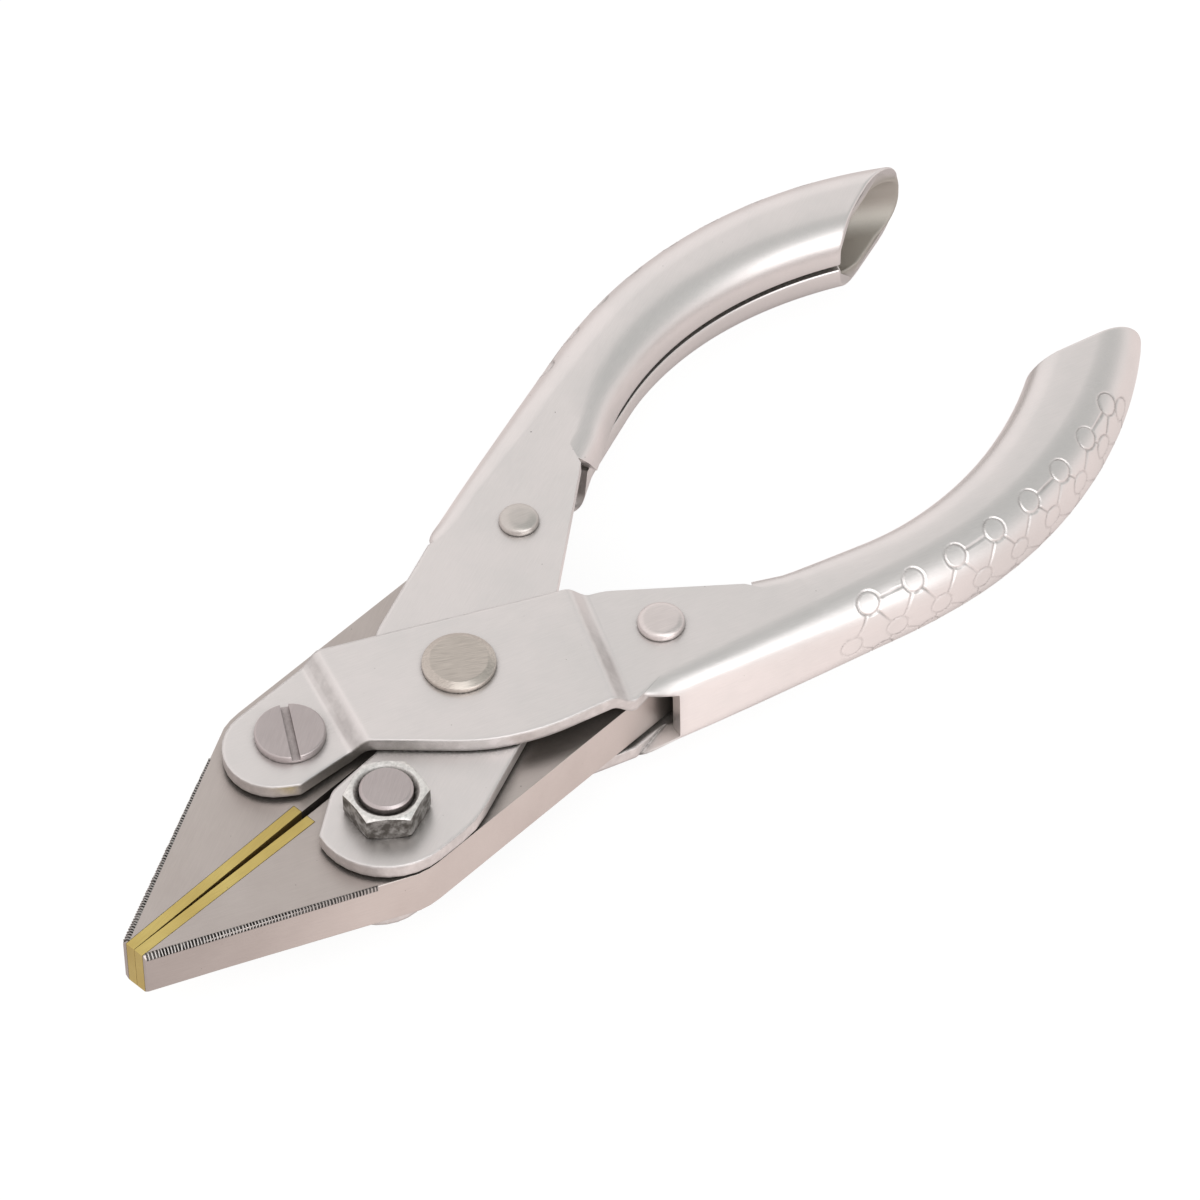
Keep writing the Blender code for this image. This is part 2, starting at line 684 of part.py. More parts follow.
def domed_head(radius, seat, flat_share):
    """Profile of a guide rivet's low domed head, from its seat to its pole."""
    rim = seat + GUIDE_EDGE_HEIGHT
    top = seat + GUIDE_HEAD_HEIGHT
    profile = [(radius, seat), (radius, rim)]
    for step in (1, 2):
        angle = math.pi / 2 * step / 3
        shrink = radius * (1 - flat_share) * (1 - math.cos(angle))
        profile.append((radius - shrink, rim + (top - rim) * math.sin(angle)))
    return [*profile, (radius * flat_share, top), (0.0, top)]


def guide_rivet_mesh():
    """Guide rivet about its own axis: set head on top, smaller peened end below."""
    shoulder = INNER_EAR_LOW - HEAD_CLEARANCE
    seat = INNER_EAR_TOP + HEAD_CLEARANCE
    head = domed_head(GUIDE_HEAD_RADIUS, seat, GUIDE_HEAD_FLAT)
    peen = domed_head(GUIDE_PEEN_RADIUS, seat, GUIDE_PEEN_FLAT)
    body = [(GUIDE_RADIUS, shoulder), (GUIDE_NECK_RADIUS, shoulder), (GUIDE_NECK_RADIUS, seat)]
    lower = [(radius, -height) for radius, height in reversed(body + peen)]
    return mesh_of(turned_solid(lower + body + head), "guide_rivet")


def bolt_mesh():
    """Shoulder bolt about its own axis: slotted cheese head on top, chamfered end below."""
    seat = FRONT_EAR_TOP + HEAD_CLEARANCE
    top = seat + BOLT_HEAD_HEIGHT
    end = -(INNER_EAR_TOP + HEAD_CLEARANCE + NUT_HEIGHT + BOLT_END_STICKOUT)
    profile = [
        (0.0, end),
        (BOLT_RADIUS - BOLT_END_CHAMFER, end),
        (BOLT_RADIUS, end + BOLT_END_CHAMFER),
        (BOLT_RADIUS, seat),
        (BOLT_HEAD_RADIUS, seat),
        (BOLT_HEAD_RADIUS, top - BOLT_HEAD_CHAMFER),
        (BOLT_HEAD_RADIUS - BOLT_HEAD_CHAMFER, top),
        (0.0, top),
    ]
    half = DRIVER_SLOT_WIDTH / 2
    reach = 2 * BOLT_HEAD_RADIUS
    corners = [Vector(c) for c in ((-reach, -half), (reach, -half), (reach, half), (-reach, half))]
    outline = [turned(corner, DRIVER_SLOT_ANGLE) for corner in corners]
    driver_slot = prism(outline, top - DRIVER_SLOT_DEPTH, top + DRIVER_SLOT_DEPTH)
    return combined(turned_solid(profile), [("DIFFERENCE", driver_slot)], "bolt")


def nut_mesh():
    """Hexagon nut about its own axis, under the inner ear: corners and thread mouth chamfered."""
    top = -(INNER_EAR_TOP + HEAD_CLEARANCE)
    bottom = top - NUT_HEIGHT
    corner = NUT_FLAT_RADIUS / math.cos(math.pi / 6)
    outline = [turned(Vector((corner, 0.0)), NUT_ANGLE + math.pi / 3 * side) for side in range(6)]
    outside = corner + OVERRUN / 2
    drop = (outside - NUT_FLAT_RADIUS) * math.tan(NUT_CHAMFER_ANGLE)
    bevelled = turned_solid(
        [
            (0.0, bottom),
            (NUT_FLAT_RADIUS, bottom),
            (outside, bottom + drop),
            (outside, top - drop),
            (NUT_FLAT_RADIUS, top),
            (0.0, top),
        ]
    )
    bore = BOLT_RADIUS + PIVOT_CLEARANCE / 2
    mouth = bore + NUT_COUNTERSINK
    tapped = turned_solid(
        [
            (0.0, bottom - OVERRUN),
            (mouth, bottom - OVERRUN),
            (mouth, bottom),
            (bore, bottom + NUT_COUNTERSINK),
            (bore, top + OVERRUN),
            (0.0, top + OVERRUN),
        ]
    )
    blank = prism(outline, bottom - OVERRUN, top + OVERRUN)
    return combined(blank, [("INTERSECT", bevelled), ("DIFFERENCE", tapped)], "nut")


# Assembly


def material(name, colour, roughness, metallic=1.0):
    """A plain Principled material."""
    made = bpy.data.materials.new(name)
    made.use_nodes = True
    shader = made.node_tree.nodes["Principled BSDF"]
    shader.inputs["Base Color"].default_value = (*colour, 1.0)
    shader.inputs["Roughness"].default_value = roughness
    shader.inputs["Metallic"].default_value = metallic
    made.diffuse_color = (*colour, 1.0)
    return made


def place(name, mesh, surface, root, pivot=Vector((0.0, 0.0)), other_half=False):
    """Adds one piece with its origin on its pivot, turned half round for the other half."""
    data = mesh.copy()
    data.name = name
    data.materials.clear()
    data.materials.append(surface)
    data.shade_smooth()
    data.set_sharp_from_angle(angle=SHARP_ANGLE)
    piece = bpy.data.objects.new(name, data)
    bpy.context.scene.collection.objects.link(piece)
    piece.parent = root
    turn = HALF_TURN if other_half else Matrix.Identity(4)
    piece.matrix_local = turn @ Matrix.Translation((pivot * MM).to_3d())
    return piece


def stand_on_floor(root, pieces):
    """Moves the whole tool so that its box stands on z = 0, centred on the origin."""
    bpy.context.view_layer.update()
    corners = [piece.matrix_world @ vert.co for piece in pieces for vert in piece.data.vertices]
    middle_x = (min(c.x for c in corners) + max(c.x for c in corners)) / 2
    middle_y = (min(c.y for c in corners) + max(c.y for c in corners)) / 2
    root.location = (-middle_x, -middle_y, -min(c.z for c in corners))


def build():
    for existing in list(bpy.data.objects):
        bpy.data.objects.remove(existing)
    ground_steel = material("ground_steel", (0.56, 0.52, 0.50), 0.38)
    plated_steel = material("plated_steel", (0.66, 0.65, 0.65), 0.28)
    rivet_steel = material("rivet_steel", (0.60, 0.57, 0.55), 0.34)
    nut_steel = material("nut_steel", (0.42, 0.43, 0.42), 0.45)
    brass = material("brass", (0.80, 0.62, 0.25), 0.32)

    root = bpy.data.objects.new("pliers", None)
    bpy.context.scene.collection.objects.link(root)
    jaw, liner = jaw_mesh(), liner_mesh()
    top_eared = handle_mesh(TOP_EAR_SHOULDER, TOP_EAR_CROSSING)
    bottom_eared = handle_mesh(BOTTOM_EAR_SHOULDER, BOTTOM_EAR_CROSSING)
    guide_rivet, bolt, nut = guide_rivet_mesh(), bolt_mesh(), nut_mesh()
    front, guide = FRONT_PIVOT, GUIDE_PIVOT
    pieces = [
        place("handle_left", top_eared, plated_steel, root),
        place("handle_right", bottom_eared, plated_steel, root, other_half=True),
        place("jaw_right", jaw, ground_steel, root, front),
        place("jaw_left", jaw, ground_steel, root, front, other_half=True),
        place("liner_right", liner, brass, root, front),
        place("liner_left", liner, brass, root, front, other_half=True),
        place("main_rivet", main_rivet_mesh(), rivet_steel, root),
        place("guide_rivet_left", guide_rivet, rivet_steel, root, guide),
        place("guide_rivet_right", guide_rivet, rivet_steel, root, guide, other_half=True),
        place("pivot_bolt_right", bolt, rivet_steel, root, front),
        place("pivot_bolt_left", bolt, rivet_steel, root, front, other_half=True),
        place("pivot_nut_right", nut, nut_steel, root, front),
        place("pivot_nut_left", nut, nut_steel, root, front, other_half=True),
    ]
    stand_on_floor(root, pieces)


build()
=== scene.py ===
"""Looks of the parallel-action flat nose pliers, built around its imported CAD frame.

Every shape is made in the tool's own design frame and then placed: X from the nose to the grips,
Y to the right jaw, Z along the pivots, and the origin in the middle of the main rivet. Sizes are
in millimetres unless they are said to be in metres, and every BMesh is in metres. The second half
of the tool is the first half turned half round about X.
"""

import logging
import math
from dataclasses import dataclass, field, replace
from enum import Enum
from functools import reduce

import bmesh
import bpy
import numpy as np
from mathutils import Matrix, Vector, noise

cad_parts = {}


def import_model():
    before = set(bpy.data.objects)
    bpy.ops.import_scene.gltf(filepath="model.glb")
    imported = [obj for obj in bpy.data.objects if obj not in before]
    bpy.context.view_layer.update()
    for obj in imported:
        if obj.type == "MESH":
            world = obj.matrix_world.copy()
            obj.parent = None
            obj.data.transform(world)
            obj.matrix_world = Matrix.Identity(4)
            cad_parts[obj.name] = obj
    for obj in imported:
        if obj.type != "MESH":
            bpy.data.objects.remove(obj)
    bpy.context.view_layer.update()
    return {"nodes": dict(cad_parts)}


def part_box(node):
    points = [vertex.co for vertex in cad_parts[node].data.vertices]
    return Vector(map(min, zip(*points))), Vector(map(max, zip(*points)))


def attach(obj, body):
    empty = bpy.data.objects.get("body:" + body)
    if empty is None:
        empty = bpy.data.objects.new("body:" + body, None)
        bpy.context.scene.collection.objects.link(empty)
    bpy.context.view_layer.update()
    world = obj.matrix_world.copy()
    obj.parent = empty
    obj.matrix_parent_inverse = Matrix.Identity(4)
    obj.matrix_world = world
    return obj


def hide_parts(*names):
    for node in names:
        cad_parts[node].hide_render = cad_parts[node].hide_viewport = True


LOG = logging.getLogger("pliers")

MM = 0.001
# Vertex marks: the inside of a fold gets painted shade, and stamped or filed grooves get grime and
# painted shade.
INSIDE_LAYER = "inside_of_fold"
GROOVE_LAYER = "stamped_groove"
SMOOTH_UP_TO = math.radians(35)
FLAT_WITHIN = math.radians(0.4)
SAME_PLACE = 2e-4 * MM

# How open a place is at which a mask starts, and at which it is full: the masks of painted shade and
# grime in corners, of painted shade in deep insides, and of the painted shadow on the mirrored
# table.
CORNER_OPENNESS = (0.84, 0.25)
CAVITY_OPENNESS = (0.5, 0.2)
TABLE_OPENNESS = (0.25, 0.85)
# Scale per metre, detail and roughness of the noises.
CORNER_NOISE = (2600.0, 4.0, 0.7)
SIDE_NOISE = (900.0, 4.0, 0.6)
GROOVE_NOISE = (500.0, 3.0, 0.5)
GRIT_NOISE = (5200.0, 2.0, 0.6)
LINE_NOISE = (3.0, 0.65)
SMUDGE_NOISE = (4.0, 0.6)
PATCH_SCALE = 420.0
RAGGED_SCALE = 9000.0
RAGGED_REACH = 0.08 * MM

Socket = bpy.types.NodeSocket
Sockets = bpy.types.bpy_prop_collection
Shape = bmesh.types.BMesh
Vert = bmesh.types.BMVert
Row = list[Vert]
CadNodes = dict[str, bpy.types.Object]
Array = np.ndarray
Pair = tuple[float, float]
Triple = tuple[float, float, float]


class Half(Enum):
    """The two halves of the tool, named after the side that their grip lies on."""

    LEFT = "left"
    RIGHT = "right"

    @property
    def other(self) -> "Half":
        """The opposite half."""
        return Half.RIGHT if self is Half.LEFT else Half.LEFT


# ---- Node helpers ----


@dataclass
class NodeSheet:
    """Adds and joins shader nodes in the tree of a material, a world or a group."""

    tree: bpy.types.NodeTree

    def add(self, kind: str, inputs: dict | None = None, **settings: object) -> bpy.types.Node:
        """Adds a node.

        Args:
            kind: the node's type name without its ShaderNode prefix.
            inputs: what its inputs are fed with, by name or number.
            settings: attributes of the node.

        Returns:
            The new node.
        """
        node = self.tree.nodes.new("ShaderNode" + kind)
        for name, value in settings.items():
            setattr(node, name, value)
        for name, value in (inputs or {}).items():
            self.feed(node.inputs[name], value)
        return node

    def get(
        self, kind: str, inputs: dict | None = None, output: str | int = 0, **settings: object
    ) -> Socket:
        """Adds a node and returns one of its outputs."""
        return self.add(kind, inputs, **settings).outputs[output]

    def feed(self, socket: Socket, value: object) -> None:
        """Sets an input socket to a constant, or joins another socket to it.

        Args:
            socket: the input.
            value: an output socket, a number, or a colour or vector as a tuple.
        """
        if isinstance(value, Socket):
            self.tree.links.new(value, socket)
        elif isinstance(value, tuple) and socket.type == "RGBA" and len(value) == 3:
            socket.default_value = (*value, 1.0)
        else:
            socket.default_value = value

    def maths(self, operation: str, first: object, second: object) -> Socket:
        """Returns the result of a Math node."""
        return self.get("Math", {0: first, 1: second}, operation=operation)

    def times(self, *factors: object) -> Socket:
        """Returns the product of two or more numbers."""
        return reduce(lambda product, factor: self.maths("MULTIPLY", product, factor), factors)

    def between(
        self, value: object, low: float, high: float, out_low: float = 0.0, out_high: float = 1.0
    ) -> Socket:
        """Maps a value smoothly from one range to another.

        Args:
            value: the value's socket.
            low: the value that gives out_low.
            high: the value that gives out_high.
            out_low: the result at and below low.
            out_high: the result at and above high.

        Returns:
            The result's socket.
        """
        inputs = dict(enumerate((value, low, high, out_low, out_high)))
        return self.get("MapRange", inputs, interpolation_type="SMOOTHSTEP")

    def blend(self, factor: object, first: object, second: object) -> Socket:
        """Returns the mix of two colours by a factor."""
        return self.get("Mix", {0: factor, 6: first, 7: second}, 2, data_type="RGBA")

    def noise(
        self, vector: Socket, scale: object, detail: float = 2.0, roughness: float = 0.5
    ) -> Socket:
        """Returns the value of a noise texture, whose scale is per metre of its vector."""
        inputs = {"Vector": vector, "Scale": scale, "Detail": detail, "Roughness": roughness}
        return self.get("TexNoise", inputs)

    def open_sky(self, reach: float, samples: int = 6) -> Socket:
        """Returns how little of a place is walled in within a reach in millimetres."""
        return self.get("AmbientOcclusion", {"Distance": reach * MM}, "AO", samples=samples)


@dataclass
class SurfaceGroup:
    """Base of the shader node groups that several finishes share."""

    name: str
    inputs: dict[str, float] = field(default_factory=dict)
    outputs: tuple[str, ...] = ()

    def tree(self) -> bpy.types.NodeTree:
        """Builds the group's tree, or finds it if it is there.

        Returns:
            The tree.
        """
        known = bpy.data.node_groups.get(self.name)
        if known:
            return known
        made = bpy.data.node_groups.new(self.name, "ShaderNodeTree")
        socket = made.interface.new_socket
        socket("Vector", in_out="INPUT", socket_type="NodeSocketVector").hide_value = True
        for label, value in self.inputs.items():
            number = socket(label, in_out="INPUT", socket_type="NodeSocketFloat")
            number.default_value = value
        for label in self.outputs:
            socket(label, in_out="OUTPUT", socket_type="NodeSocketFloat")
        sheet = NodeSheet(made)
        entry = made.nodes.new("NodeGroupInput")
        leave = made.nodes.new("NodeGroupOutput")
        for label, result in self.build(sheet, entry.outputs).items():
            sheet.feed(leave.inputs[label], result)
        return made

    def build(self, sheet: NodeSheet, entry: Sockets) -> dict[str, Socket]:
        """Builds the group's nodes from its inputs and returns its results by name."""
        raise NotImplementedError

    def place(self, sheet: NodeSheet, vector: Socket, **values: float) -> Sockets:
        """Places the group in a material.

        Args:
            sheet: the material's nodes.
            vector: the place on the piece that the effect reads.
            values: the material's own values for the group's inputs.

        Returns:
            The group's outputs.
        """
        inputs = {label.capitalize(): value for label, value in values.items()}
        return sheet.add("Group", {"Vector": vector, **inputs}, node_tree=self.tree()).outputs


@dataclass
class BrushedGrain(SurfaceGroup):
    """Fine parallel lines left by a belt or a wheel, along the vector's X."""

    name: str = "brushed_grain"
    inputs: dict[str, float] = field(
        default_factory=lambda: {"Fineness": 9000.0, "Length": 0.06, "Breaks": 0.5}
    )
    outputs: tuple[str, ...] = ("Lines", "Height")

    def build(self, sheet: NodeSheet, entry: Sockets) -> dict[str, Socket]:
        """Stretches a noise along X and lets a broader one break its lines up.

        Args:
            sheet: the group's nodes.
            entry: the group's inputs.

        Returns:
            The lines round a middle of 0.5, and their height round 0.
        """
        squeeze = sheet.get("CombineXYZ", {0: entry["Length"], 1: 1.0, 2: 1.0})
        stretched = sheet.get("VectorMath", {0: entry["Vector"], 1: squeeze}, operation="MULTIPLY")
        fine = sheet.noise(stretched, entry["Fineness"], *LINE_NOISE)
        patches = sheet.between(sheet.noise(entry["Vector"], PATCH_SCALE), 0.32, 0.68)
        strength = sheet.maths("SUBTRACT", 1.0, sheet.times(patches, entry["Breaks"]))
        lines = sheet.times(sheet.maths("SUBTRACT", fine, 0.5), strength)
        return {"Lines": sheet.maths("ADD", lines, 0.5), "Height": lines}


@dataclass
class Handling(SurfaceGroup):
    """Marks of use: soft smudges and small ragged pits."""

    name: str = "handling_marks"
    inputs: dict[str, float] = field(
        default_factory=lambda: {"Smudge_size": 90.0, "Pit_density": 900.0, "Pit_share": 0.1}
    )
    outputs: tuple[str, ...] = ("Smudge", "Pits")

    def build(self, sheet: NodeSheet, entry: Sockets) -> dict[str, Socket]:
        """Makes cloudy smudges, and pits in the cells that a noise picks out.

        Args:
            sheet: the group's nodes.
            entry: the group's inputs.

        Returns:
            How strong the smudges and the pits are.
        """
        place = entry["Vector"]
        cloud = sheet.noise(place, entry["Smudge_size"], *SMUDGE_NOISE)
        smudge = sheet.between(cloud, 0.3, 0.72)
        ragged = sheet.get("TexNoise", {"Vector": place, "Scale": RAGGED_SCALE}, "Color")
        shaken = sheet.get("VectorMath", {0: ragged, "Scale": RAGGED_REACH}, operation="SCALE")
        moved = sheet.get("VectorMath", {0: place, 1: shaken}, operation="ADD")
        cell = {"Vector": moved, "Scale": entry["Pit_density"]}
        cells = sheet.add("TexVoronoi", cell, feature="F1").outputs
        tone = sheet.add("SeparateColor", {0: cells["Color"]}).outputs
        chosen = sheet.maths("LESS_THAN", tone[0], entry["Pit_share"])
        reach = sheet.between(tone[1], 0.0, 1.0, 0.05, 0.15)
        inside = sheet.between(sheet.maths("SUBTRACT", reach, cells["Distance"]), 0.0, 0.04)
        depth = sheet.between(tone[2], 0.0, 1.0, 0.35, 1.0)
        return {"Smudge": smudge, "Pits": sheet.times(chosen, inside, depth)}


GRAIN = BrushedGrain()
HANDLING = Handling()


# ---- Finishes ----


@dataclass(frozen=True)
class SteelFinish:
    """A satin metal surface with brushed lines, handling marks, and grime and painted shade in its
    corners.

    Args:
        name: the material's name.
        colour: the clean metal's colour.
        shade: the colour of smudges.
        dirt_and_shade: the colour of grime in pits, corners and grooves, and of painted shade in
            corners, grooves and on upright walls.
        roughness: the mean roughness.
        roughness_spread: how much the lines and smudges change it.
        grain_turn: the direction of the lines, counterclockwise from X, in degrees.
        fineness: lines per metre.
        length: how much more slowly the noise changes along a line than across it.
        line_contrast: how much the lines change the colour.
        line_height: the depth of the lines.
        grit_height: the height of the fine pebbling under them.
        smudge: how strong the smudges are.
        pit_share: the share of cells that hold a pit.
        pit_density: cells per metre.
        pit_depth: the depth of a pit.
        pit_dirt: how much grime a pit holds.
        corner_dirt_and_shade: how strong the painted shade and grime in corners are.
        corner_reach: how far the painted shade and grime reach from a corner.
        edge_round: the radius that edges catch the light with.
        side_shade: how strong the painted shade on upright walls is.
        side_levels: how upright a normal may stand where no grime and where all of it is.
        front_end: where the worn front part ends, along X; 0 for no such part.
        front_fade: the length over which it ends.
        front_round: the radius that the front part's edges catch the light with.
        groove_dirt_and_shade: the least and the most grime and painted shade in marked grooves.
        cavity_shade: the colour of the painted shade that deep insides fade to.
        cavity_shade_strength: how strong that painted shade is.
        cavity_reach: how far away the walls of a deep inside may be.
        dirt_and_shade_roughness: how much rougher grime, painted shade and deep insides are.
    """

    name: str
    colour: Triple
    shade: Triple
    dirt_and_shade: Triple = (0.07, 0.06, 0.05)
    roughness: float = 0.36
    roughness_spread: float = 0.08
    grain_turn: float = 0.0
    fineness: float = 9000.0
    length: float = 0.05
    line_contrast: float = 0.08
    line_height: float = 0.003
    grit_height: float = 0.0
    smudge: float = 0.6
    pit_share: float = 0.03
    pit_density: float = 1500.0
    pit_depth: float = 0.02
    pit_dirt: float = 0.75
    corner_dirt_and_shade: float = 0.7
    corner_reach: float = 1.2
    edge_round: float = 0.1
    side_shade: float = 0.0
    side_levels: Pair = (0.75, 0.35)
    front_end: float = 0.0
    front_fade: float = 4.0
    front_round: float = 0.55
    groove_dirt_and_shade: Pair = (0.0, 0.0)
    cavity_shade: Triple = (0.48, 0.455, 0.41)
    cavity_shade_strength: float = 0.0
    cavity_reach: float = 7.0
    dirt_and_shade_roughness: float = 0.3

    def material(self) -> bpy.types.Material:
        """Makes the finish's material, or finds it if it is there.

        Returns:
            The material.
        """
        known = bpy.data.materials.get(self.name)
        if known:
            return known
        made = bpy.data.materials.new(self.name)
        made.use_nodes = True
        sheet = NodeSheet(made.node_tree)
        shader = made.node_tree.nodes["Principled BSDF"].inputs
        place = sheet.get("TexCoord", output="Object")
        turn = {"Vector": place, "Angle": -math.radians(self.grain_turn)}
        turned = sheet.get("VectorRotate", turn, rotation_type="Z_AXIS")
        grain = GRAIN.place(sheet, turned, fineness=self.fineness, length=self.length)
        marks = HANDLING.place(sheet, place, pit_density=self.pit_density, pit_share=self.pit_share)
        smudged = sheet.times(marks["Smudge"], self.smudge)
        tones = (1.0 - self.line_contrast, 1.0 + self.line_contrast)
        lines = {
            0: sheet.blend(smudged, self.colour, self.shade),
            "Scale": sheet.between(grain["Lines"], 0.25, 0.75, *tones),
        }
        clean = sheet.get("VectorMath", lines, operation="SCALE")
        front, inside_shade = 1.0, 0.0
        if self.front_end:
            ends = (self.front_end * MM, (self.front_end + self.front_fade) * MM)
            front = sheet.between(sheet.get("SeparateXYZ", {0: place}), *ends, 1.0, 0.0)
        # Painted shade: deep insides and the inside of a fold fade to a dark colour.
        if self.cavity_shade_strength:
            closed = sheet.between(sheet.open_sky(self.cavity_reach), *CAVITY_OPENNESS)
            inside = sheet.get("Attribute", output="Fac", attribute_name=INSIDE_LAYER)
            inside_shade = sheet.times(sheet.maths("MAXIMUM", closed, inside), self.cavity_shade_strength)
            clean = sheet.blend(inside_shade, clean, self.cavity_shade)
        # Grime in pits, corners and grooves, and painted shade in corners, grooves and on upright
        # walls.
        dirt_and_shade = self.dirt_and_shade_strength(sheet, place, marks["Pits"], front)
        sheet.feed(shader["Base Color"], sheet.blend(dirt_and_shade, clean, self.dirt_and_shade))
        shader["Metallic"].default_value = 1.0
        spread = self.roughness_spread
        ends = (self.roughness - spread, self.roughness + spread)
        rough = sheet.between(grain["Lines"], 0.2, 0.8, *ends)
        for cause, effect in (
            (smudged, spread), (inside_shade, self.dirt_and_shade_roughness), (dirt_and_shade, self.dirt_and_shade_roughness)
        ):
            rough = sheet.maths("ADD", rough, sheet.times(cause, effect))
        sheet.feed(shader["Roughness"], rough)
        radius = self.edge_round * MM
        if self.front_end:
            wider = sheet.times(front, self.front_round * MM - radius)
            radius = sheet.maths("ADD", wider, radius)
        height = sheet.times(grain["Height"], self.line_height)
        if self.grit_height:
            grit = sheet.noise(place, *GRIT_NOISE)
            height = sheet.maths("ADD", height, sheet.times(grit, self.grit_height))
        relief = {
            "Strength": 1.0,
            "Distance": MM,
            "Height": sheet.maths("ADD", height, sheet.times(marks["Pits"], -self.pit_depth)),
            "Normal": sheet.get("Bevel", {"Radius": radius}, samples=6),
        }
        sheet.feed(shader["Normal"], sheet.get("Bump", relief))
        return made

    def dirt_and_shade_strength(
        self, sheet: NodeSheet, place: Socket, pits: Socket, front: object
    ) -> Socket:
        """Where the dark colour goes: grime in pits, corners and grooves, and painted shade in
        corners, grooves and on the front part's upright walls.

        Args:
            sheet: the material's nodes.
            place: the place on the piece.
            pits: how deep in a pit it is.
            front: 1 on the front part and 0 behind it.

        Returns:
            The strength of the grime and painted shade.
        """
        # Painted shade in corners that walls close in, broken up like grime.
        closed = sheet.between(sheet.open_sky(self.corner_reach), *CORNER_OPENNESS)
        broken = sheet.between(sheet.noise(place, *CORNER_NOISE), 0.3, 0.6, 0.45, 1.0)
        masks = [sheet.times(pits, self.pit_dirt), sheet.times(closed, broken, self.corner_dirt_and_shade)]
        # Painted shade on upright walls, on the front part only where the finish has one.
        if self.side_shade:
            normal = {0: sheet.get("TexCoord", output="Normal")}
            level = sheet.maths("ABSOLUTE", sheet.get("SeparateXYZ", normal, 2), 0.0)
            wall = sheet.between(level, *self.side_levels)
            broken = sheet.between(sheet.noise(place, *SIDE_NOISE), 0.3, 0.65, 0.6, 1.0)
            masks.append(sheet.times(wall, broken, front, self.side_shade))
        # Grime and painted shade in marked grooves.
        if self.groove_dirt_and_shade[1]:
            groove = sheet.get("Attribute", output="Fac", attribute_name=GROOVE_LAYER)
            cloud = sheet.noise(place, *GROOVE_NOISE)
            patchy = sheet.between(cloud, 0.35, 0.65, *self.groove_dirt_and_shade)
            masks.append(sheet.times(groove, patchy))
        return reduce(lambda most, mask: sheet.maths("MAXIMUM", most, mask), masks)


# Deep insides, such as the jaws' tails inside the channels, fade to a near-black painted shade.
GROUND_STEEL = SteelFinish(
    name="ground_steel_jaws", colour=(0.578, 0.527, 0.503), shade=(0.515, 0.463, 0.44),
    roughness_spread=0.05, grain_turn=24.0, line_contrast=0.05, line_height=0.002,
    corner_dirt_and_shade=0.85, corner_reach=1.6, edge_round=0.08,
    cavity_shade=(0.10, 0.09, 0.08), cavity_shade_strength=0.9, cavity_reach=9.0,
)
# The valleys between the file teeth get grime and painted shade.
FILED_STEEL = SteelFinish(
    name="filed_steel_nose_edges", colour=(0.58, 0.555, 0.54), shade=(0.40, 0.38, 0.37),
    dirt_and_shade=(0.02, 0.018, 0.016), roughness=0.5, roughness_spread=0.05,
    grain_turn=24.0, line_contrast=0.05, line_height=0.001,
    corner_dirt_and_shade=1.0, corner_reach=0.4, edge_round=0.012, groove_dirt_and_shade=(0.7, 1.0),
)
# The grips' deep insides and the inside of their fold get painted shade, as do the upright walls of
# the front part.
PLATED_STEEL = SteelFinish(
    name="plated_steel_handles", colour=(0.83, 0.795, 0.79), shade=(0.725, 0.715, 0.71),
    roughness_spread=0.04, grain_turn=-20.0, line_contrast=0.03, line_height=0.0015,
    grit_height=0.006, smudge=0.5, pit_share=0.02,
    corner_dirt_and_shade=0.9, corner_reach=1.8, edge_round=0.05,
    side_shade=0.3, side_levels=(0.985, 0.64), front_end=13.0,
    groove_dirt_and_shade=(0.08, 0.45), cavity_shade_strength=0.85,
)
MAIN_RIVET_STEEL = SteelFinish(
    name="brushed_steel_main_rivet", colour=(0.595, 0.545, 0.50), shade=(0.52, 0.475, 0.43),
    roughness=0.33, grain_turn=-35.0, line_contrast=0.22, line_height=0.006, smudge=0.5,
)
GUIDE_RIVET_STEEL = SteelFinish(
    name="set_steel_guide_rivets", colour=(0.66, 0.625, 0.60), shade=(0.56, 0.53, 0.50),
    roughness=0.34, grain_turn=-25.0, smudge=0.8, edge_round=0.3,
)
# A lighter copy of the guide rivets' steel: painted light for the near, left rivet.
LIT_GUIDE_RIVET_STEEL = replace(
    GUIDE_RIVET_STEEL,
    name="guide_rivet_painted_lighter", colour=(0.82, 0.76, 0.75), shade=(0.72, 0.67, 0.66),
)
BOLT_STEEL = SteelFinish(
    name="turned_steel_bolts", colour=(0.55, 0.50, 0.50), shade=(0.49, 0.44, 0.44),
    roughness_spread=0.07, grain_turn=30.0, pit_share=0.1, corner_dirt_and_shade=0.75,
)
# The nuts' upright sides get painted shade.
NUT_STEEL = SteelFinish(
    name="dull_steel_nuts", colour=(0.87, 0.86, 0.84), shade=(0.74, 0.73, 0.715),
    roughness=0.40, roughness_spread=0.10, fineness=2600.0, length=0.8,
    line_contrast=0.2, line_height=0.02, pit_share=0.1,
    corner_dirt_and_shade=0.95, corner_reach=1.3, edge_round=0.2, side_shade=0.92,
)
LINER_BRASS = SteelFinish(
    name="filed_brass_liners", colour=(0.72, 0.585, 0.215), shade=(0.60, 0.455, 0.15),
    dirt_and_shade=(0.20, 0.115, 0.05), roughness_spread=0.06, grain_turn=8.0, smudge=0.8,
    pit_share=0.04, corner_dirt_and_shade=0.85, corner_reach=1.0, edge_round=0.05,
)


# ---- Shapes ----


@dataclass
class DesignFrame:
    """Where the design frame stands in the world."""

    origin: Vector

    @classmethod
    def of_main_rivet(cls) -> "DesignFrame":
        """The frame whose origin is the middle of the main rivet."""
        low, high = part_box("main_rivet")
        return cls((low + high) / 2)

    def matrix(self, half: Half) -> Matrix:
        """Places a shape of one half: the left one as designed, the right one turned half round."""
        turn = Matrix.Identity(4) if half is Half.LEFT else Matrix.Rotation(math.pi, 4, "X")
        return Matrix.Translation(self.origin) @ turn


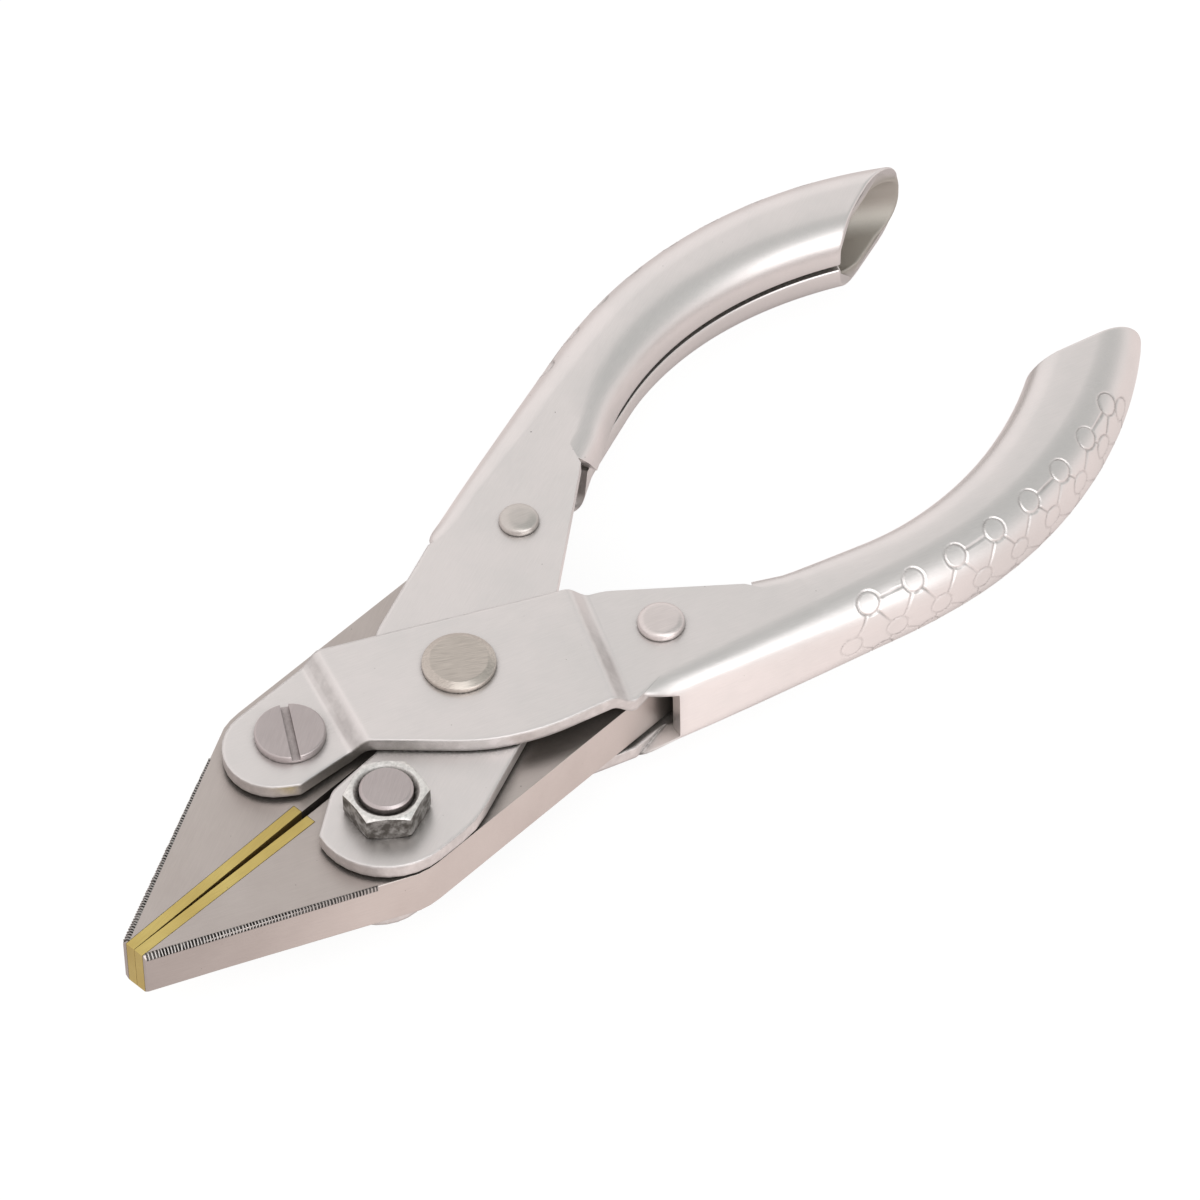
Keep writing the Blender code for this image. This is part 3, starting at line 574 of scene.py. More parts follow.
@dataclass
class Piece:
    """One visible piece of the tool.

    Args:
        name: its name.
        body: the CAD body that it moves with.
        slot: the name of a material slot; not used.
        finish: its surface.
    """

    name: str
    body: str
    slot: str
    finish: SteelFinish

    def add(self, shape: Shape, placing: Matrix, replaced: str = "") -> None:
        """Turns a shape into a piece of the scene.

        Args:
            shape: the shape, which is freed.
            placing: where its own frame stands.
            replaced: the CAD node that it stands for, if it stands for one.
        """
        mesh = mesh_of(shape, self.name)
        mesh.materials.append(self.finish.material())
        mesh.shade_smooth()
        mesh.set_sharp_from_angle(angle=SMOOTH_UP_TO)
        piece = in_scene(self.name, mesh)
        piece.modifiers.new("flat_faces", "WEIGHTED_NORMAL").keep_sharp = True
        piece.matrix_world = placing
        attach(piece, self.body)
        if replaced:
            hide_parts(replaced)
        LOG.info("%s: %d faces on %s", self.name, len(mesh.polygons), self.body)

    def add_softened(self, nodes: CadNodes, name: str, placing: Matrix, edge: float) -> None:
        """Makes the piece of a CAD node whose sharp edges it rounds.

        Args:
            nodes: the CAD nodes by name.
            name: the CAD node's name.
            placing: where the piece's own frame stands.
            edge: how far its edges are rounded.
        """
        shape = node_shape(nodes[name], placing)
        soften(shape, edge)
        self.add(shape, placing, name)


def in_scene(name: str, data: bpy.types.ID) -> bpy.types.Object:
    """Adds an object to the scene.

    Args:
        name: its name.
        data: its mesh, lamp or camera.

    Returns:
        The object.
    """
    made = bpy.data.objects.new(name, data)
    bpy.context.scene.collection.objects.link(made)
    return made


def mesh_of(shape: Shape, name: str) -> bpy.types.Mesh:
    """Turns a shape into a mesh.

    Args:
        shape: the shape, which is freed.
        name: the mesh's name.

    Returns:
        The mesh.
    """
    mesh = bpy.data.meshes.new(name)
    shape.to_mesh(mesh)
    shape.free()
    return mesh


def node_shape(node: bpy.types.Object, placing: Matrix) -> Shape:
    """Copies a CAD node's mesh into a half's own frame, with its split vertices joined.

    Args:
        node: the CAD node's object, whose mesh is in world coordinates.
        placing: where the half's frame stands.

    Returns:
        The copy.
    """
    shape = bmesh.new()
    shape.from_mesh(node.data)
    bmesh.ops.transform(shape, matrix=placing.inverted(), verts=shape.verts)
    bmesh.ops.remove_doubles(shape, verts=shape.verts, dist=SAME_PLACE)
    bmesh.ops.dissolve_limit(
        shape, angle_limit=FLAT_WITHIN, use_dissolve_boundaries=False,
        verts=shape.verts, edges=shape.edges,
    )
    return shape


def soften(shape: Shape, radius: float, angle: float = 30.0) -> None:
    """Rounds a shape's sharp edges.

    Args:
        shape: the shape.
        radius: the rounding.
        angle: edges sharper than this many degrees are rounded.
    """
    sharp = [
        edge
        for edge in shape.edges
        if len(edge.link_faces) == 2 and edge.calc_face_angle() > math.radians(angle)
    ]
    bmesh.ops.bevel(
        shape, geom=sharp, offset=radius * MM, offset_type="OFFSET",
        segments=2, profile=0.6, affect="EDGES", clamp_overlap=True,
    )


def skin(shape: Shape, rows: list[Row]) -> None:
    """Joins closed rows of vertices with four-sided faces, and closes the last.

    Args:
        shape: what the rows belong to.
        rows: the rows in order, with the same number of vertices each.
    """
    for near, far in zip(rows, rows[1:]):
        for index in range(len(near)):
            after = (index + 1) % len(near)
            shape.faces.new((near[index], near[after], far[after], far[index]))
    shape.faces.new(rows[-1])


def eased(value: float | Array, low: float, high: float) -> float | Array:
    """0 up to low, 1 from high on, and a smooth rise between."""
    share = np.clip((value - low) / (high - low), 0.0, 1.0)
    return share * share * (3.0 - 2.0 * share)


def part_way(ends: Pair, share: float | Array) -> float | Array:
    """The value at a share of the way from one number to another."""
    return ends[0] + (ends[1] - ends[0]) * share


@dataclass
class GripPattern:
    """Rings joined by short bars, stamped into the outside of a grip.

    Places are (length along the grip, girth up from the middle of its outer wall). Three rows of
    rings run along the grip: one on each bend of the back, and one between them, half a pitch
    ahead. upper_turn and under_turn are how many degrees round its bend a row lies, and
    groove_floor, lip_middle and lip_width are in shares of groove_half.
    """

    first: float = 24.6
    pitch: float = 6.064
    rings: int = 8
    middle_first: Pair = (21.8, -0.45)
    middle_pitch: Pair = (5.85, 0.28)
    under_shift: float = 1.3
    ring_radius: float = 1.38
    groove_half: float = 0.11
    groove_depth: float = 0.12
    groove_floor: float = 0.55
    lip_height: float = 0.03
    lip_middle: float = 1.9
    lip_width: float = 0.5
    upper_turn: float = 42.0
    upper_bow: float = 0.9
    bow_ahead: float = 0.4
    bow_power: float = 0.75
    under_turn: float = 30.0

    def rows(self, grip: "GripShape") -> tuple[list[Pair], ...]:
        """Where the rings lie.

        Args:
            grip: the grip that is stamped.

        Returns:
            The ring centres of the upper, middle and under rows.
        """
        upper, under = [], []
        for index in range(self.rings):
            along = self.first + self.pitch * index
            share = (index + self.bow_ahead) / self.rings
            bow = self.upper_bow * math.sin(math.pi * share**self.bow_power)
            upper.append((along, grip.girth_at(along, self.upper_turn) + bow))
            along += self.under_shift
            under.append((along, -grip.girth_at(along, self.under_turn)))
        middle = [
            tuple(place + step * index for place, step in zip(self.middle_first, self.middle_pitch))
            for index in range(self.rings + 1)
        ]
        return upper, middle, under

    def depth(self, along: Array, girth: Array, grip: "GripShape") -> Array:
        """How far the stamp pushes the surface in at each place.

        Args:
            along: lengths along the grip.
            girth: girths at the same places.
            grip: the grip that is stamped.

        Returns:
            The depths, below zero where the metal is pushed up beside a groove.
        """
        upper, middle, under = self.rows(grip)
        bars = []
        for row in (upper, under):
            bars += [*zip(row[::2], row[1::2]), *zip(row, middle), *zip(row, middle[1:])]
        nearest = np.full(along.shape, np.inf)
        for ring_along, ring_girth in upper + middle + under:
            distance = np.hypot(along - ring_along, girth - ring_girth)
            nearest = np.minimum(nearest, np.abs(distance - self.ring_radius))
        for start, end in bars:
            run = np.subtract(end, start)
            length = float(np.hypot(*run))
            run = run / length
            trim = self.ring_radius / length
            share = ((along - start[0]) * run[0] + (girth - start[1]) * run[1]) / length
            reached = np.clip(share, trim, 1.0 - trim) * length
            foot = (start[0] + run[0] * reached, start[1] + run[1] * reached)
            nearest = np.minimum(nearest, np.hypot(along - foot[0], girth - foot[1]))
        away = nearest / self.groove_half
        groove = 1.0 - eased(away, self.groove_floor, self.groove_floor + 1.0)
        beside = (away - self.lip_middle) / self.lip_width
        return self.groove_depth * groove - self.lip_height * np.exp(-beside * beside)


@dataclass
class GripShape:
    """The folded grip of the left handle, with its outside stamped.

    Of two widths or radii, the first holds at the mouth and the second in the grip. A spread is
    how far a lip stands out at the mouth and where that ends. fine_turn and coarse_turn are the
    degrees between two points of a bend.
    """

    mouth: Pair = (15.6, -18.7)
    flare: float = math.radians(-18.0)
    flare_length: float = 28.3
    bend_radius: float = 54.0
    bend_sweep: float = math.radians(55.2)
    widths: Pair = (10.0, 11.9)
    upper_spread: Pair = (0.8, 19.0)
    under_spread: Pair = (1.7, 27.0)
    half_height: float = 5.35
    drawn_in: float = 0.07
    back_radii: Pair = (2.6, 4.7)
    lip_radii: Pair = (2.1, 3.6)
    full_radius_at: float = 36.0
    sheet: float = 1.7
    seam: float = 0.7
    lip_start: float = 14.0
    end_slant: float = 11.2
    end_curve: float = 1.08
    end_curve_upper: float = 0.17
    start: float = 19.4
    stamped_past: float = 6.0
    rim: float = 0.32
    fine_step: float = 0.13
    end_rows: int = 4
    fine_turn: float = 2.0
    coarse_turn: float = 10.0
    inside_every: int = 5
    sunk_shares: Pair = (0.3, 1.0)
    sunk_heights: Pair = (0.5, 3.5)
    pattern: GripPattern = field(default_factory=GripPattern)

    @property
    def length(self) -> float:
        """The length of the grip's back, from the mouth."""
        return self.flare_length + self.bend_radius * self.bend_sweep

    def place(self, along: Array, depth: Array) -> Array:
        """Plan points of places on the grip.

        Args:
            along: lengths from the mouth.
            depth: depths in from the outer wall.

        Returns:
            One (x, y) row for each place.
        """
        depth = depth + self.drawn_in * eased(along, self.start, self.full_radius_at)
        bend = np.clip(along - self.flare_length, 0.0, None) / self.bend_radius
        straight = np.minimum(along, self.flare_length)
        chord = 2.0 * self.bend_radius * np.sin(bend / 2.0)
        middle = self.flare + bend / 2.0
        heading = self.flare + bend
        x = self.mouth[0] + straight * math.cos(self.flare) + chord * np.cos(middle)
        y = self.mouth[1] + straight * math.sin(self.flare) + chord * np.sin(middle)
        return np.stack([x - depth * np.sin(heading), y + depth * np.cos(heading)], axis=-1)

    def girth_at(self, along: float, turn: float) -> float:
        """The girth of the place so many degrees round the upper bend of the back."""
        back = part_way(self.back_radii, eased(along, 0.0, self.full_radius_at))
        return self.half_height - back + back * math.radians(turn)

    def upper_outline(self) -> tuple[Array, Array]:
        """The upper half of a section, from the lip over to the middle of the outer wall.

        Returns:
            Two rows of factors for each point, which give its depth and its height out of
            (1, width, back radius, lip radius), and each point's outward normal.
        """
        high = self.half_height
        low = self.seam / 2 + self.rim
        top, back = math.pi / 2, math.pi
        rows = [
            ((0, 1, 0, 0), (low + (high - low) * share, 0, 0, -share), 0.0) for share in (0.0, 0.5)
        ]
        for turn in np.radians(np.arange(0.0, 90.1, self.coarse_turn)):
            rounded = (high, 0, 0, math.sin(turn) - 1.0)
            rows.append(((0, 1, 0, math.cos(turn) - 1.0), rounded, turn))
        rows.append(((0, 0.5, 0.5, -0.5), (high, 0, 0, 0), top))
        for turn in np.radians(np.arange(90.0, 180.1, self.fine_turn)):
            rounded = (high, 0, math.sin(turn) - 1.0, 0)
            rows.append(((0, 0, 1.0 + math.cos(turn), 0), rounded, turn))
        for share in (0.8, 0.6, 0.4, 0.2, 0.0):
            rows.append(((0, 0, 0, 0), (high * share, 0, -share, 0), back))
        turns = np.array([row[2] for row in rows])
        factors = np.array([row[:2] for row in rows], dtype=float)
        return factors, np.stack([np.cos(turns), np.sin(turns)], axis=-1)

    def outside(self, along: Array) -> tuple[Array, Array]:
        """The outside of a section, from its upper lip round the back to its under lip.

        Args:
            along: each point's length from the mouth.

        Returns:
            Points and outward normals as (depth, height) rows.
        """
        factors, normals = self.upper_outline()
        middle = len(factors) - 1
        side = np.where(np.arange(2 * middle + 1) > middle, -1.0, 1.0)
        factors = np.concatenate([factors, factors[-2::-1]])
        normals = np.concatenate([normals, normals[-2::-1] * np.array([1.0, -1.0])])
        grown = eased(along, 0.0, self.full_radius_at)
        width = part_way(self.widths, eased(along, self.flare_length, self.length))
        for of_side, (spread, spread_end) in ((1.0, self.upper_spread), (-1.0, self.under_spread)):
            extra = spread * (1.0 - eased(along, self.lip_start, spread_end))
            width = width + np.where(side == of_side, extra, 0.0)
        radii = (part_way(ends, grown) for ends in (self.back_radii, self.lip_radii))
        sizes = np.stack(np.broadcast_arrays(np.ones(len(side)), width, *radii), axis=-1)
        points = np.einsum("pcs,ps->pc", factors, sizes)
        points[:, 1] *= side
        return points, normals

    def inside_places(self, count: int) -> list[int]:
        """Which of the outside's places the inside keeps: all but most of the fine ones.

        Args:
            count: how many places the outside has.

        Returns:
            The numbers of those kept.
        """
        before = 2 + int(90 / self.coarse_turn) + 1 + 1
        fine = range(before, before + int(90 / self.fine_turn) + 1)
        kept = [
            index
            for index in range(count // 2 + 1)
            if index not in fine or (index - before) % self.inside_every == 0
        ]
        return kept + [count - 1 - index for index in reversed(kept[:-1])]

    def slanted(self, along: float) -> Array:
        """The lengths that one row's points lie at, as the grip's end is cut slantwise.

        Args:
            along: the row's length from the mouth, at the outer wall.

        Returns:
            Each outside point's own length.
        """
        points, _ = self.outside(np.array(along))
        past = eased(along, self.start, self.length)
        curve = self.end_curve + self.end_curve_upper * points[:, 1] / self.half_height
        share = np.clip(points[:, 0], 0.0, None) / self.widths[1]
        return along - self.end_slant * past * share**curve

    def loop(self, along: float, shrink: float, stamped: bool) -> tuple[Array, Array]:
        """One closed row of the sheet as (x, y, z) points.

        Args:
            along: the row's length from the mouth, at the outer wall.
            shrink: how far its faces are drawn in, for the rounded rims.
            stamped: whether the pattern is pressed into it.

        Returns:
            The row's points in order, and the outside's shares of a groove's full depth, scaled by
            height, which set its grime and painted shade.
        """
        places = self.slanted(along)
        points, normals = self.outside(places)
        inset = np.full(len(points), shrink)
        sunk = np.zeros(len(points))
        if stamped:
            steps = np.hypot(*np.diff(points, axis=0).T)
            travelled = np.concatenate([[0.0], np.cumsum(steps)])
            pressed = self.pattern.depth(places, travelled[len(points) // 2] - travelled, self)
            inset = inset + pressed
            # Grooves away from the middle of the outer wall get more grime and painted shade.
            groove_darkening = part_way(self.sunk_shares, eased(np.abs(points[:, 1]), *self.sunk_heights))
            sunk = np.clip(pressed / self.pattern.groove_depth, 0.0, 1.0) * groove_darkening
        outer = points - normals * inset[:, None]
        kept = self.inside_places(len(points))
        inner = (points - normals * (self.sheet - shrink))[kept]
        upper = self.lip_rim(points[0, 0], shrink)[::-1]
        under = self.lip_rim(points[-1, 0], shrink) * np.array([1.0, -1.0])
        flat = np.concatenate([outer, under, inner[::-1], upper])
        at_rims = [np.full(len(upper), places[end]) for end in (-1, 0)]
        lengths = np.concatenate([places, at_rims[0], places[kept][::-1], at_rims[1]])
        return np.column_stack([self.place(lengths, flat[:, 0]), flat[:, 1]]), sunk

    def lip_rim(self, width: float, shrink: float) -> Array:
        """The rounded edge of one lip at the seam.

        Args:
            width: the depth of the sheet's outside there.
            shrink: how far the sheet's faces are drawn in.

        Returns:
            Its points from outside in, as (depth, height) rows.
        """
        near = [self.rim * (1.0 - math.cos(turn)) for turn in np.radians((30.0, 60.0))]
        rows = [(width - sunk - shrink, rise) for sunk, rise in zip(near, near[::-1])]
        rows += [(width - self.sheet + sunk + shrink, rise) for sunk, rise in zip(near[::-1], near)]
        return np.array(rows) + np.array([0.0, self.seam / 2 + shrink])

    def add_to(self, shape: Shape) -> Row:
        """Adds the grip behind its start: a sheet with rounded rims, open at its start.

        Args:
            shape: what it is added to.

        Returns:
            The vertices of its open row, in order.
        """
        pattern = self.pattern
        stamped_to = pattern.first + pattern.pitch * pattern.rings + self.stamped_past
        end = self.length - self.rim
        rows = [(along, 0.0, True) for along in np.arange(self.start, stamped_to, self.fine_step)]
        rows += [(along, 0.0, False) for along in np.linspace(stamped_to, end, self.end_rows)]
        for turn in np.radians((30.0, 60.0, 90.0)):
            sunk = self.rim * (1.0 - math.cos(turn))
            rows.append((end + self.rim * math.sin(turn), sunk, False))
        within = shape.verts.layers.float[INSIDE_LAYER]
        groove = shape.verts.layers.float[GROOVE_LAYER]
        count = len(self.upper_outline()[0]) * 2 - 1
        first = count + len(self.lip_rim(0.0, 0.0))
        loops = []
        for along, shrink, stamped in rows:
            section, sunk = self.loop(along, shrink, stamped)
            loops.append([shape.verts.new(Vector(point) * MM) for point in section])
            # The inside of the fold is marked for painted shade.
            for vert in loops[-1][first : first + len(self.inside_places(count))]:
                vert[within] = 1.0
            # Grooves are marked for grime and painted shade.
            for vert, share in zip(loops[-1], sunk):
                vert[groove] = share
        skin(shape, loops)
        return loops[0]


def zip_loops(shape: Shape, near: Row, far: Row) -> None:
    """Joins two closed rows of vertices that lie close to each other with triangles.

    Args:
        shape: what the rows belong to.
        near: one row, in order.
        far: the other row, in order.
    """
    turning = [
        sum(((a.co - row[0].co).cross(b.co - row[0].co) for a, b in zip(row, row[1:])), Vector())
        for row in (near, far)
    ]
    if turning[0].dot(turning[1]) < 0:
        far = far[::-1]
    first = min(range(len(far)), key=lambda index: (far[index].co - near[0].co).length)
    near, far = [*near, near[0]], [*far[first:], *far[: first + 1]]
    passed, reached = 0, 0
    while passed < len(near) - 1 or reached < len(far) - 1:
        corner = (near[passed], far[reached])
        steps = []
        if passed < len(near) - 1:
            steps.append((near[passed + 1], corner[1], 1, 0))
        if reached < len(far) - 1:
            steps.append((far[reached + 1], corner[0], 0, 1))
        vert, _, on_near, on_far = min(steps, key=lambda step: (step[0].co - step[1].co).length)
        shape.faces.new((*corner, vert))
        passed += on_near
        reached += on_far


# ---- Sub-assemblies ----


@dataclass
class RoundedCorner:
    """Where an outer ear's front edge turns toward the grip: one long, soft bend.

    Args:
        apex: the plan point where its two straight edges would meet.
        heading: the plan direction along it at the apex.
        turn: how far each straight edge turns away from that heading.
        reach: how far along each edge the bend goes.
        worn: the radius that the solid already has there.
        levels: the heights of the ear's faces.
        step: the length of one facet of the bend.
        margin: how far in from the edge a vertex still belongs to it.
    """

    apex: Pair = (-3.59, -12.22)
    heading: float = math.radians(-32.3)
    turn: float = math.radians(15.4)
    reach: float = 6.6
    worn: float = 6.1
    levels: Pair = (5.3, 7.6)
    step: float = 0.6
    margin: float = 0.4

    def axes(self) -> tuple[Vector, ...]:
        """The apex, the direction along the corner and the direction into the ear."""
        run = Vector((math.cos(self.heading), math.sin(self.heading), 0.0))
        return Vector((*self.apex, 0.0)), run, Vector((-run.y, run.x, 0.0))

    def along_edge(self, vert: Vert) -> float | None:
        """Where along the corner a vertex of the ear's edge lies.

        Args:
            vert: the vertex.

        Returns:
            How far it is along from the apex, or None if it isn't on the edge near the corner.
        """
        apex, run, inward = self.axes()
        offset = vert.co / MM - apex
        along, depth = offset.dot(run), offset.dot(inward)
        on_ear = self.levels[0] < vert.co.z / MM < self.levels[1]
        slope = abs(along) * math.tan(self.turn)
        near = abs(along) < 2.5 * self.reach and depth < slope + self.margin
        return along if on_ear and near else None

    def sink(self, along: float) -> float:
        """How far in the edge moves at a place.

        Args:
            along: how far along the corner the place is from the apex.

        Returns:
            The distance.
        """
        away = abs(along)
        if away >= self.reach:
            return 0.0
        if away < self.worn * math.sin(self.turn):
            present = self.worn / math.cos(self.turn) - math.sqrt(self.worn**2 - away**2)
        else:
            present = away * math.tan(self.turn)
        wanted = math.tan(self.turn) * (self.reach**2 + away**2) / (2.0 * self.reach)
        return wanted - present

    def round_off(self, shape: Shape) -> None:
        """Slices the ear across the corner and moves its edge in.

        Args:
            shape: the handle.
        """
        apex, run, inward = self.axes()
        count = 2 * int(self.reach / self.step)
        for index in range(count + 1):
            at = apex + run * self.reach * (2.0 * index / count - 1.0)
            rim = [vert for vert in shape.verts if self.along_edge(vert) is not None]
            faces = sorted({face for vert in rim for face in vert.link_faces}, key=lambda f: f.index)
            edges = {edge for face in faces for edge in face.edges}
            verts = {vert for face in faces for vert in face.verts}
            bmesh.ops.bisect_plane(
                shape, geom=[*verts, *edges, *faces], plane_co=at * MM, plane_no=run
            )
            shape.faces.index_update()
        for vert in shape.verts:
            along = self.along_edge(vert)
            if along is not None:
                vert.co += inward * self.sink(along) * MM


@dataclass
class Handle:
    """One handle in one piece: its ears and mouth from the CAD solid, and its stamped grip.

    Args:
        half: the half that it belongs to.
        frame: where the design frame stands.
        grip: its grip.
        corner: the soft corner that the left one's outer ear has.
        edge: how far its front part's edges are rounded.
        edge_angle: edges sharper than this many degrees are rounded.
        overlap: how far ahead of the grip's start the solid is cut.
    """

    half: Half
    frame: DesignFrame
    grip: GripShape = field(default_factory=GripShape)
    corner: RoundedCorner = field(default_factory=RoundedCorner)
    edge: float = 0.24
    edge_angle: float = 50.0
    overlap: float = 0.5

    def front_shape(self, node: bpy.types.Object) -> tuple[Shape, Row]:
        """The handle ahead of its grip, cut from the CAD solid across the channel.

        Args:
            node: the handle's CAD node.

        Returns:
            The shape, and the vertices of its open row in order.
        """
        shape = node_shape(node, self.frame.matrix(self.half))
        shape.verts.layers.float.new(INSIDE_LAYER)
        shape.verts.layers.float.new(GROOVE_LAYER)
        if self.half is Half.LEFT:
            self.corner.round_off(shape)
        cut = self.grip.place(np.array(self.grip.start - self.overlap), np.array(0.0))
        run = Vector((math.cos(self.grip.flare), math.sin(self.grip.flare), 0.0))
        bmesh.ops.bisect_plane(
            shape, geom=[*shape.verts, *shape.edges, *shape.faces],
            plane_co=Vector((*cut, 0.0)) * MM, plane_no=run, clear_outer=True,
        )
        soften(shape, self.edge, self.edge_angle)
        rim = [edge for edge in shape.edges if edge.is_boundary]
        row = [rim[0].verts[0]]
        while rim:
            edge = next(item for item in rim if row[-1] in item.verts)
            rim.remove(edge)
            row.append(edge.other_vert(row[-1]))
        return shape, row[:-1]

    def build(self, nodes: CadNodes) -> None:
        """Adds the handle.

        Args:
            nodes: the CAD nodes by name.
        """
        side = self.half.value
        name = f"handle_{side}"
        shape, front_row = self.front_shape(nodes[name])
        zip_loops(shape, front_row, self.grip.add_to(shape))
        bmesh.ops.recalc_face_normals(shape, faces=shape.faces)
        piece = Piece(f"{name}_folded", f"{side}_handle", "plated_steel", PLATED_STEEL)
        piece.add(shape, self.frame.matrix(self.half), name)


@dataclass
class FileMarks:
    """Short teeth that a coarse file left across the upper edge of a nose.

    A wave is a spread, the waves in a millimetre and which of the noise's layers it follows.

    Args:
        pitch: the mean distance between two teeth.
        height: how far a tooth stands out of the groove beside it.
        depth: how far the strip reaches into the nose.
        start: the plan point where it starts, at the tip.
        end: the plan point where it ends, at the shoulder.
        level: the height of the nose's flat face.
        chamfer: how wide the chamfer under it is at the tip, from where it narrows to nothing.
        flank: how far from the tip the chamfer ends.
        outline: the strip's section: the share of the chamfer's width and the distance that
            it lies in from the flank, the distance down from the face, and the share of a
            tooth's height that it rises by.
        tooth: one pitch along the edge: shares of the pitch, and whether the tooth is up there.
        mean_share: the mean share of the height that the teeth have.
        pitch_wave: how the pitch changes.
        height_wave: how the height changes.
        lean_wave: how the teeth lean along the edge.
        fade: how far from its end the teeth get low.
        faded: the share of their height that they lose there.
    """

    pitch: float = 0.37
    height: float = 0.14
    depth: float = 0.25
    start: Pair = (-50.15, 1.82)
    end: Pair = (-26.3, 13.09)
    level: float = 3.15
    chamfer: float = 0.45
    flank: float = 30.0
    outline: tuple[tuple[float, float, float, float], ...] = (
        (1.0, 0.3, 0.012, 0.0),
        (1.0, 0.0, -0.035, 1.0),
        (0.0, -0.035, 0.43, 1.0),
        (0.0, 0.012, 0.72, 0.0),
    )
    tooth: tuple[Pair, ...] = ((0.0, 0.0), (0.48, 0.0), (0.56, 1.0), (0.92, 1.0))
    mean_share: float = 0.9
    pitch_wave: Triple = (0.5, 2.3, 4.0)
    height_wave: Triple = (0.6, 1.1, 9.0)
    lean_wave: Triple = (0.16, 3.1, 2.0)
    fade: float = 6.0
    faded: float = 0.6

    def add_to(self, shape: Shape, half: Half, seed: float) -> None:
        """Adds a thin toothed strip over the chamfer.

        Args:
            shape: what it is added to.
            half: the half whose frame it is in, as the right one stands upside down.
            seed: what makes one strip's teeth differ from another's.
        """
        run = Vector(self.end) - Vector(self.start)
        length = run.length
        run = run / length
        upright = 1.0 if half is Half.LEFT else -1.0
        groove = shape.verts.layers.float.new(GROOVE_LAYER)
        made = []
        travelled = 0.0
        while travelled < length:
            rest, tall, lean = (
                spread * noise.noise(Vector((travelled * rate, seed, layer)))
                for spread, rate, layer in (self.pitch_wave, self.height_wave, self.lean_wave)
            )
            pitch = self.pitch * (1.0 + rest)
            tall += self.mean_share
            tall *= 1.0 - self.faded * eased(travelled, length - self.fade, length)
            for share, lift in self.tooth:
                points = self.row(travelled + share * pitch, run, lift * tall, lean, upright)
                made.append([shape.verts.new(Vector(point) * MM) for point in points])
                # Valleys between the teeth are marked for grime and painted shade.
                for vert in made[-1]:
                    vert[groove] = 1.0 - lift
            travelled += pitch
        skin(shape, made)
        shape.faces.new(made[0][::-1])
        bmesh.ops.recalc_face_normals(shape, faces=shape.faces)

    def row(
        self, travelled: float, run: Vector, lift: float, lean: float, upright: float
    ) -> list[Triple]:
        """One cross-section of the strip, whose outside rises by the lift's share.

        Args:
            travelled: how far along the edge it is.
            run: the edge's direction in plan.
            lift: how much of a tooth's height it has.
            lean: how far its foot is shifted along the edge.
            upright: 1 where the frame stands upright and -1 where it is upside down.

        Returns:
            Its corners in order.
        """
        out = Vector((-run.y, run.x))
        corners = []
        width = self.chamfer * (1.0 - travelled / self.flank)
        for share, further, drop, rise in self.outline:
            inward = width * share + further
            raised = self.height * lift * rise / math.sqrt(2.0)
            along = Vector(self.start) + run * (travelled + lean * (drop - inward))
            place = along - out * (inward - raised)
            corners.append((place.x, place.y, upright * (self.level - drop + raised)))
        inner = [
            (x - out.x * self.depth, y - out.y * self.depth, z - upright * self.depth)
            for x, y, z in (corners[3], corners[0])
        ]
        return corners + inner


@dataclass
class Jaw:
    """One jaw with its liner. The right jaw is the left half's, as its pivot is.

    Args:
        half: the half that it belongs to.
        frame: where the design frame stands.
        edge: how far the steel's edges are rounded.
        liner_edge: how far the liner's edges are rounded.
        marks: the file marks along its nose.
    """

    half: Half
    frame: DesignFrame
    edge: float = 0.1
    liner_edge: float = 0.04
    marks: FileMarks = field(default_factory=FileMarks)

    def build(self, nodes: CadNodes) -> None:
        """Adds the jaw, its file marks and its liner.

        Args:
            nodes: the CAD nodes by name.
        """
        side = self.half.other.value
        body = f"{side}_jaw"
        placing = self.frame.matrix(self.half)
        steel = Piece(f"jaw_{side}_ground", body, "ground_steel", GROUND_STEEL)
        steel.add_softened(nodes, f"jaw_{side}", placing, self.edge)
        teeth = bmesh.new()
        self.marks.add_to(teeth, self.half, float(len(side)))
        Piece(f"jaw_{side}_file_marks", body, "ground_steel", FILED_STEEL).add(teeth, placing)
        brass = Piece(f"liner_{side}_filed", body, "brass", LINER_BRASS)
        brass.add_softened(nodes, f"liner_{side}", placing, self.liner_edge)


@dataclass
class Fasteners:
    """The rivets, bolts and nuts. An edge is how far theirs are rounded."""

    frame: DesignFrame
    main_edge: float = 0.09
    guide_edge: float = 0.06
    bolt_edge: float = 0.05
    nut_edge: float = 0.12

    def build(self, nodes: CadNodes) -> None:
        """Adds every fastener to the handle that carries it.

        Args:
            nodes: the CAD nodes by name.
        """
        rows = [("main_rivet", Half.LEFT, "rivet_steel", MAIN_RIVET_STEEL, self.main_edge)]
        for half in Half:
            crossed = half.other.value
            # The near, left guide rivet gets the lighter copy: painted light.
            guide = LIT_GUIDE_RIVET_STEEL if half is Half.LEFT else GUIDE_RIVET_STEEL
            rows += [
                (f"guide_rivet_{half.value}", half, "rivet_steel", guide, self.guide_edge),
                (f"pivot_bolt_{crossed}", half, "rivet_steel", BOLT_STEEL, self.bolt_edge),
                (f"pivot_nut_{crossed}", half, "nut_steel", NUT_STEEL, self.nut_edge),
            ]
        placing = self.frame.matrix(Half.LEFT)
        for name, half, slot, finish, edge in rows:
            piece = Piece(f"{name}_finished", f"{half.value}_handle", slot, finish)
            piece.add_softened(nodes, name, placing, edge)


# ---- Studio ----


